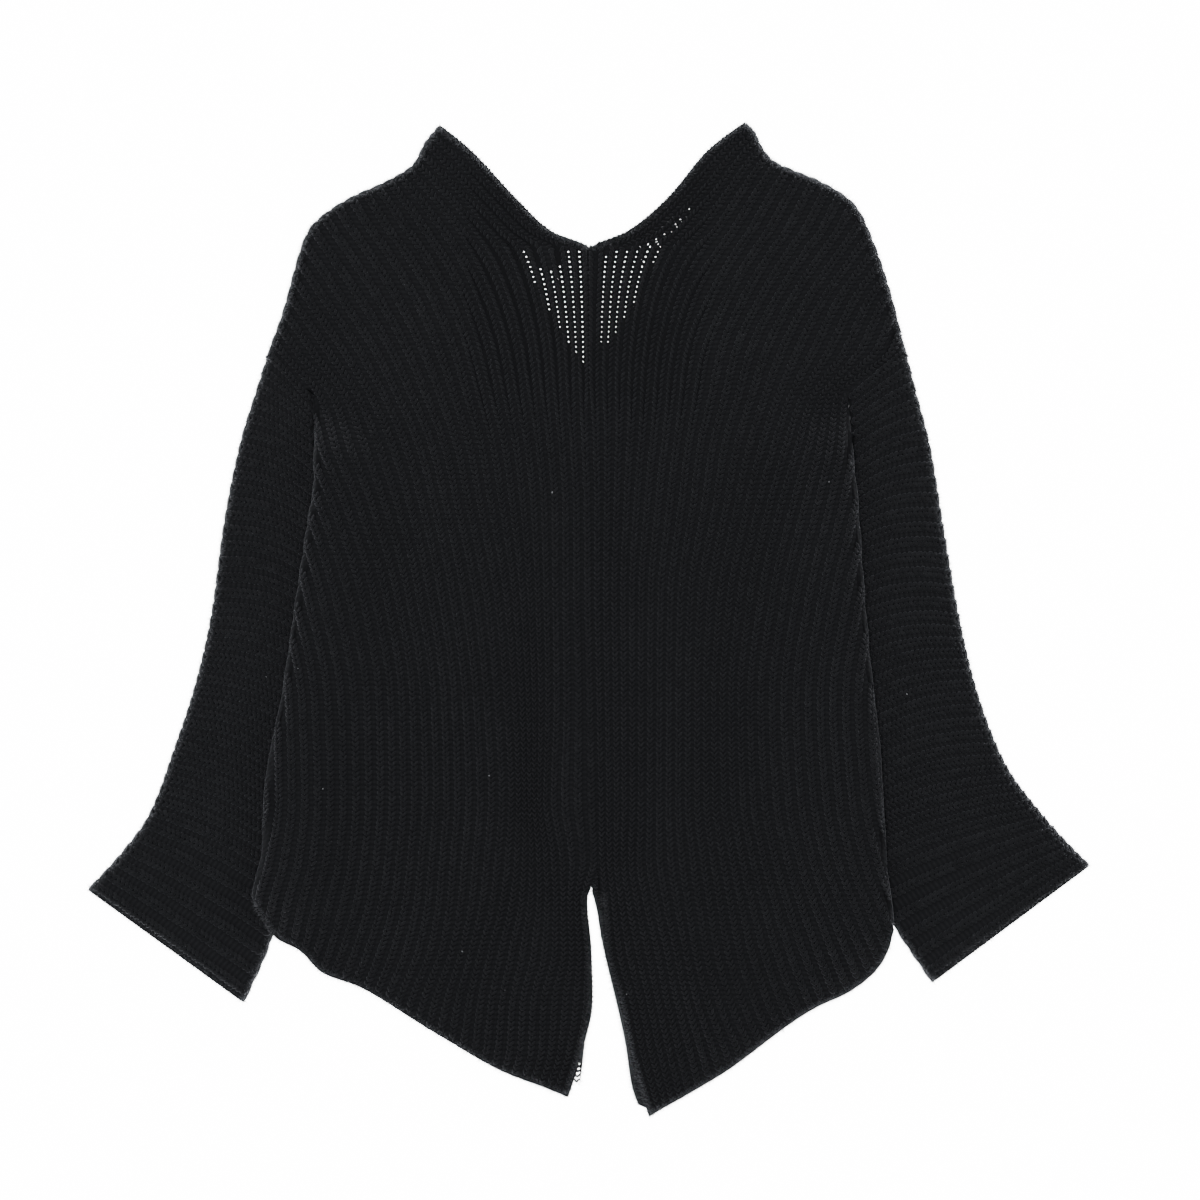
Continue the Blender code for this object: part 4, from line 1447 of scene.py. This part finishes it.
@dataclass
class Sleeve:
    """A batwing sleeve: a flat ribbed tube whose ribs run across it."""

    lay: Lay
    ribs: int = 42
    step: float = 0.25
    across: int = 22
    turns: tuple = (30, 60, 90, 120, 150)
    stand_off: float = -0.2
    lap: float = 7.0
    lap_fade: float = 14.0
    fuller: float = 1.2
    tuck: float = 1.3
    tucked: int = 9
    flat: tuple = (0.20, 0.42)
    cloth_area: float = 0.072

    @property
    def node(self) -> str:
        """The name of the solid that it dresses."""
        return "sleeve_" + self.lay.name

    def place(self, number: float, t: Array | float) -> Array:
        """Plan points of a rib, t from the overarm to its end, just under the body at the armpit."""
        outer, inner, _ = self.lay.sleeve_line(number)
        more = self.tuck * max(0.0, 1 - number / self.tucked) / float(np.linalg.norm(inner - outer))
        return self.lay.sleeve_point(number, np.asarray(t) * (1 + more))

    def ground(self, material: bpy.types.Material) -> bpy.types.Object:
        """Builds the wall of the tube."""
        lay = self.lay
        wall = Ground()
        rings = []
        slack = KNIT.reach
        for number in np.arange(0, self.ribs + self.step / 2, self.step):
            outer, inner, _ = lay.sleeve_line(number)
            width = float(np.linalg.norm(inner - outer))
            lead = slack / width
            shift = np.array([0.0, -self.stand_off]) if number == 0 else np.zeros(2)
            rise = KNIT.ground_rise * relief(number)
            radius = KNIT.fold_radius - KNIT.wall / 2
            ring = []
            run = 0.0
            lap = np.zeros(2)
            if number == 0:
                lap = self.lap * unit(lay.shoulder[-2] - lay.shoulder[-1])
            for t in np.linspace(lead, 1 - lead, self.across):
                x, y = self.place(number, t)[0] + shift
                fade = max(0.0, 1.0 - (t - lead) * width / self.lap_fade)
                x, y = (x, y) + lap * fade
                run = t * width / KNIT.row_pitch
                ring.append(wall.add(x, y, KNIT.fold_radius + radius + rise, number, run))
            for end, turns in ((1 - lead, self.turns), (lead, self.turns[::-1])):
                centre = self.place(number, end)[0]
                tip = self.place(number, 1.0 if end > 0.5 else 0.0)[0]
                away = unit(tip - centre)
                if end < 0.5:
                    for t in np.linspace(1 - lead, lead, self.across // 2):
                        x, y = self.place(number, t)[0] + shift
                        run = (2 - t) * width / KNIT.row_pitch
                        ring.append(wall.add(x, y, KNIT.fold_radius - radius, number, run))
                lapped = lap if end < 0.5 else np.zeros(2)
                for turn in turns:
                    angle = math.radians(turn)
                    here = radius + rise * min(1.0, 1.0 + math.cos(angle))
                    x, y = centre + away * (here + KNIT.fold_out) * math.sin(angle) + shift + lapped
                    z = KNIT.fold_radius + here * math.cos(angle)
                    ring.append(wall.add(x, y, z, number, run + turn / 60))
            rings.append(ring + ring[:1])
        for first, second in zip(rings, rings[1:]):
            for k in range(len(first) - 1):
                wall.stitch(first[k : k + 2], second[k : k + 2])
        return wall.piece(self.node + "_ground", lay.sign, material)

    def loops(self) -> Loops:
        """Where the loops of every rib lie, on the top and round both folds."""
        made = Loops()
        lay = self.lay
        slack = KNIT.reach
        radius = KNIT.fold_radius + KNIT.loop_level
        for rib in range(self.ribs):
            number = rib + 0.5
            outer, inner, _ = lay.sleeve_line(number)
            width = float(np.linalg.norm(inner - outer))
            lead = slack / width
            path = []
            up = []
            for end, turns in ((lead, range(114, 0, -6)), (1 - lead, range(0, 96, 6))):
                centre = self.place(number, end)[0]
                tip = self.place(number, 0.0 if end < 0.5 else 1.0)[0]
                away = unit(tip - centre)
                if end > 0.5:
                    for t in np.linspace(lead, 1 - lead, int(width / 1.0)):
                        path.append([*self.place(number, t)[0], KNIT.fold_radius + radius])
                        up.append([0.0, 0.0, 1.0])
                for turn in turns:
                    sine = math.sin(math.radians(turn))
                    cosine = math.cos(math.radians(turn))
                    x, y = centre + away * radius * sine
                    path.append([x, y, KNIT.fold_radius + radius * cosine])
                    up.append([*(away * sine), cosine])
            path = np.array(path)
            before = self.place(rib, np.linspace(0, 1, len(path)))
            after = self.place(rib + 1, np.linspace(0, 1, len(path)))
            chord = unit(inner - outer)
            gap = np.abs((after - before) @ np.array([-chord[1], chord[0]]))
            share = np.clip(self.fuller * gap / KNIT.rib_pitch, 0.5, 1.6)
            made.follow(path, np.array(up), share, share * LOOP.offset, 0.0)
        return made

    def edges(self) -> list[tuple[Array, Array, Array]]:
        """The edges and folds from which loose fibres stand."""
        lay = self.lay
        numbers = np.arange(0.0, self.ribs + 0.1, 0.25)
        over = np.array([self.place(number, 0.0)[0] for number in numbers])
        cuff = self.place(self.ribs, np.linspace(0.0, 1.0, 60))
        inner = np.array([self.place(number, 1.0)[0] for number in numbers[::-1]])
        ring = np.concatenate([over, cuff, inner])
        outward = ring_normals(ring)
        level = np.full(len(ring), KNIT.fold_radius)
        number = np.arange(len(ring))
        below = lay.sleeve[-1, 4] + 60.0
        outer = number < len(over)
        end = (number >= len(over)) & (number < len(over) + len(cuff))
        inside = (number >= len(over) + len(cuff)) & (ring[:, 1] < below)
        return [(ring[part], outward[part], level[part]) for part in (outer, end, inside)]


@dataclass
class Front:
    """A front, hidden below the back but for its neck's and vent's edges."""

    lay: Lay
    clear: float = 0.9
    row: float = 12.0
    hem_in: float = 3.0
    step: float = 0.5
    edge_ribs: int = 3
    hem_reach: tuple = (212.0, 196.0)
    below_armpit: float = 34.0
    flat: tuple = (0.23, 0.68)
    cloth_area: float = 0.110

    def outline(self) -> Array:
        """The front's outline, inside the back's folds and beside the sleeve."""
        lay = self.lay
        turned = KNIT.reach + self.clear
        neck = np.array(lay.cut.neck, float)
        vent = np.array(lay.cut.vent, float)
        y = np.linspace(neck[-1, 1], vent[0, 1], 14)[1:-1]
        edge = np.stack([lay.rib(0, y) + KNIT.seam_gap / 2, y], axis=1)
        hem = along(lay.cut.hem, 5.0) + np.array([0.0, self.hem_in])
        reach = self.hem_reach[lay.sign > 0]
        hem = hem[(hem[:, 0] < reach) & (hem[:, 0] > vent[-1, 0] + 5)]
        stations = np.arange(1.0, 42, 2.0)
        side = eased(lay.sleeve[:, 0], lay.sleeve[:, 3:5], stations)
        side = moved_left(side, -(KNIT.rib_rise / 2 + self.clear))
        rim = np.concatenate([lay.side, lay.hem[1:]])[::-1]
        margin = np.where(lay.armpit[1] - side[:, 1] < self.below_armpit, turned, self.hem_in)
        side[:, 0] = np.minimum(side[:, 0], np.interp(side[:, 1], rim[:, 1], rim[:, 0]) - margin)
        side = side[side[:, 1] > hem[0, 1] + 5]
        split = unit(lay.armpit - lay.split_top)
        low_corner = lay.armpit - split * turned
        high_corner = lay.split_top + split * turned
        shoulder = moved_left(along(lay.cut.shoulder, 5.0), -turned)[2:-1]
        shoulder = shoulder[shoulder[:, 1] > high_corner[1] + 5]
        corners = [lay.armpit - np.array([turned, 0.0]), low_corner, high_corner]
        return np.concatenate([neck, edge, vent, hem[::-1], side[::-1], corners, shoulder[::-1]])

    @property
    def node(self) -> str:
        """The name of the solid that it dresses."""
        return "front_" + self.lay.name

    def ground(self, material: bpy.types.Material) -> bpy.types.Object:
        """Builds the front's wall, line by line within its outline."""
        lay = self.lay
        loop = self.outline()
        wall = Ground()
        level = KNIT.wall / 2
        rows = np.arange(348.0, -348.0, -self.row)
        neck = np.array(lay.cut.neck, float)
        vent = np.array(lay.cut.vent, float)
        y = np.linspace(neck[-1, 1], vent[0, 1], 40)[1:-1]
        seam = np.stack([lay.rib(0, y) + KNIT.seam_gap / 2, y], axis=1)
        edge = np.concatenate([along(neck, 6.0), seam, along(vent, 6.0)])
        chains = [[wall.add(*p, level, 0.0, p[1] / KNIT.row_pitch) for p in edge]]
        for number in np.arange(self.step, lay.guides[-1], self.step):
            points = lay.line(number, loop, rows, 5.0)
            if points is None or np.ptp(points[:, 1]) < 12.0:
                continue
            inner = np.interp(points[:, 1], edge[::-1, 1], edge[::-1, 0])
            points = points[points[:, 0] > inner + 1.0]
            if len(points) > 1:
                row = points[:, 1] / KNIT.row_pitch
                chains.append([wall.add(*p, level, number, v) for p, v in zip(points, row)])
        for first, second in zip(chains, chains[1:]):
            wall.stitch(first, second)
        return wall.piece(self.node + "_ground", lay.sign, material)

    def loops(self) -> Loops:
        """Loops along the edges that peep out at the neck and at the vent."""
        made = Loops()
        lay = self.lay
        for edge in (lay.cut.neck, lay.cut.vent):
            curve = along(np.array(edge, float), 1.0)
            for rank in range(self.edge_ribs):
                line = moved_left(curve, 2.5 + rank * KNIT.rib_pitch)
                level = np.full((len(line), 1), KNIT.wall - 1.0)
                path = np.concatenate([line, level], axis=1)
                up = np.tile([0.0, 0.0, 1.0], (len(path), 1))
                width = np.full(len(path), 0.9)
                made.follow(path, up, width, width * LOOP.offset, 0.0)
        return made

    def edges(self) -> list[tuple[Array, Array, Array]]:
        """The edge from which loose fibres stand, beside the vent."""
        curve = along(np.array(self.lay.cut.vent, float), 2.0)
        outward = unit(moved_left(curve, -1.0) - curve)
        return [(curve, outward, np.full(len(curve), KNIT.wall / 2))]


@dataclass(frozen=True)
class Lint:
    """Pale specks caught in the knit."""

    name: str = "lint"
    size: float = 0.34
    stretch: float = 1.8
    above: float = 1.2
    turn: float = 2.4
    colour: tuple = (0.42, 0.43, 0.45, 1.0)

    def piece(self, lays: list[Lay]) -> bpy.types.Object:
        """Builds the specks, each a small uneven grain on the ribs.

        Args:
            lays: both sides of the garment.

        Returns:
            The piece.
        """
        grains = bmesh.new()
        for index, (x, y) in enumerate(LINT):
            lay = lays[0] if x < 0 else lays[1]
            spot = np.array([[abs(x), y]], float)
            on_back = bool(within(spot, lay.loop)[0])
            level = KNIT.panel_under + KNIT.wall + lay.lift(spot)[0] if on_back else 2 * KNIT.fold_radius
            lift = Matrix.Translation(Vector((x, y, level + self.above)) * MM)
            spin = Matrix.Rotation(self.turn * index, 4, "Z")
            long = self.size * (0.7 + 0.12 * (index % 6))
            shape = Matrix.Diagonal((long * self.stretch * MM, long * MM, long * MM, 1.0))
            bmesh.ops.create_icosphere(grains, subdivisions=1, radius=1.0, matrix=lift @ spin @ shape)
        mesh = bpy.data.meshes.new(self.name)
        grains.to_mesh(mesh)
        grains.free()
        mesh.materials.append(NapFinish(self.name, self.colour).material())
        obj = bpy.data.objects.new(self.name, mesh)
        bpy.context.scene.collection.objects.link(obj)
        return obj


@dataclass(frozen=True)
class Studio:
    """The pale floor, the soft light and the camera, in metres and watts."""

    aim: tuple = (0.0084, 0.0137, 0.005)
    distance: float = 2.6
    frame: float = 0.84
    sensor: float = 36.0
    floor_size: float = 14.0
    floor_glow: float = 15.0
    top: float = 52.0
    side: float = 10.0
    sky: float = 0.17

    def build(self) -> None:
        """Sets the floor, the lights and the camera."""
        self.floor()
        self.light("top", (-0.3, 0.5, 3.0), 2.5, self.top)
        self.light("left", (-2.3, 0.3, 1.1), 1.0, self.side)
        self.light("right", (2.3, 0.3, 1.1), 1.0, self.side)
        world = bpy.data.worlds.new("studio")
        world.use_nodes = True
        world.node_tree.nodes["Background"].inputs["Color"].default_value = (0.95, 0.97, 1.0, 1.0)
        world.node_tree.nodes["Background"].inputs["Strength"].default_value = self.sky
        bpy.context.scene.world = world
        data = bpy.data.cameras.new("camera")
        data.sensor_width = self.sensor
        data.lens = self.sensor * (self.distance - self.aim[2]) / self.frame
        data.clip_end = 50.0
        camera = bpy.data.objects.new("camera", data)
        camera.location = (self.aim[0], self.aim[1], self.distance)
        bpy.context.scene.collection.objects.link(camera)
        bpy.context.scene.camera = camera

    def floor(self) -> None:
        """A plain white floor that glows a little, like a light table."""
        half = self.floor_size / 2
        mesh = bpy.data.meshes.new("floor")
        corners = [(-half, -half, 0.0), (half, -half, 0.0), (half, half, 0.0), (-half, half, 0.0)]
        mesh.from_pydata(corners, [], [(0, 1, 2, 3)])
        obj = bpy.data.objects.new("floor", mesh)
        bpy.context.scene.collection.objects.link(obj)
        material = bpy.data.materials.new("floor")
        material.use_nodes = True
        surface = material.node_tree.nodes["Principled BSDF"]
        surface.inputs["Base Color"].default_value = (0.92, 0.92, 0.92, 1.0)
        surface.inputs["Roughness"].default_value = 0.9
        surface.inputs["Emission Color"].default_value = (1.0, 1.0, 1.0, 1.0)
        surface.inputs["Emission Strength"].default_value = self.floor_glow
        mesh.materials.append(material)

    def light(self, name: str, place: tuple, size: float, power: float) -> None:
        """A square soft light that looks at the garment."""
        data = bpy.data.lights.new(name, "AREA")
        data.shape = "SQUARE"
        data.size = size
        data.energy = power
        obj = bpy.data.objects.new(name, data)
        obj.location = place
        obj.rotation_mode = "QUATERNION"
        aim = Vector(self.aim) - Vector(place)
        obj.rotation_quaternion = aim.to_track_quat("-Z", "Y")
        bpy.context.scene.collection.objects.link(obj)


def settle(piece: bpy.types.Object) -> bpy.types.Object:
    """Makes a piece ride with the garment."""
    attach(piece, "root")
    return piece


def report(piece: bpy.types.Object) -> None:
    """Logs a piece's triangles."""
    piece.data.calc_loop_triangles()
    LOG.info("%s: %d triangles", piece.name, len(piece.data.loop_triangles))


def main() -> None:
    """Builds the garment round its solids, then the studio."""
    logging.basicConfig(level=logging.INFO, format="%(message)s")
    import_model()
    Studio().build()
    ground = GroundFinish().material()
    loop_growth = loop_tree(YarnFinish().material())
    nap_growth = nap_tree(NapFinish("nap", (0.03, 0.031, 0.034, 1.0)).material())
    # The fringe's fibres are paler than the yarn: a painted highlight for the rim light along the
    # outline, on top of the real light from the glowing floor.
    fringe_growth = fringe_tree(NapFinish("fringe", (0.085, 0.088, 0.095, 1.0)).material())
    lays = [Lay(side) for side in Side]
    lint = Lint().piece(lays)
    settle(lint)
    report(lint)
    for lay in lays:
        for part in (BackHalf(lay), Sleeve(lay), Front(lay)):
            cloth = part.ground(ground)
            loops = loops_piece(part.loops(), part.node + "_loops", lay.sign, loop_growth)
            seed_mesh = bpy.data.objects.new("seed", loops.data.copy())
            bpy.context.scene.collection.objects.link(seed_mesh)
            nap = nap_growth.grow(seed_mesh, part.node + "_nap", {})
            fringe = fringe_piece(part.edges(), part.node + "_fringe", lay.sign, fringe_growth)
            for piece in (cloth, loops, nap, fringe):
                settle(piece)
                report(piece)
            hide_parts(part.node)


if __name__ == "__main__":
    main()
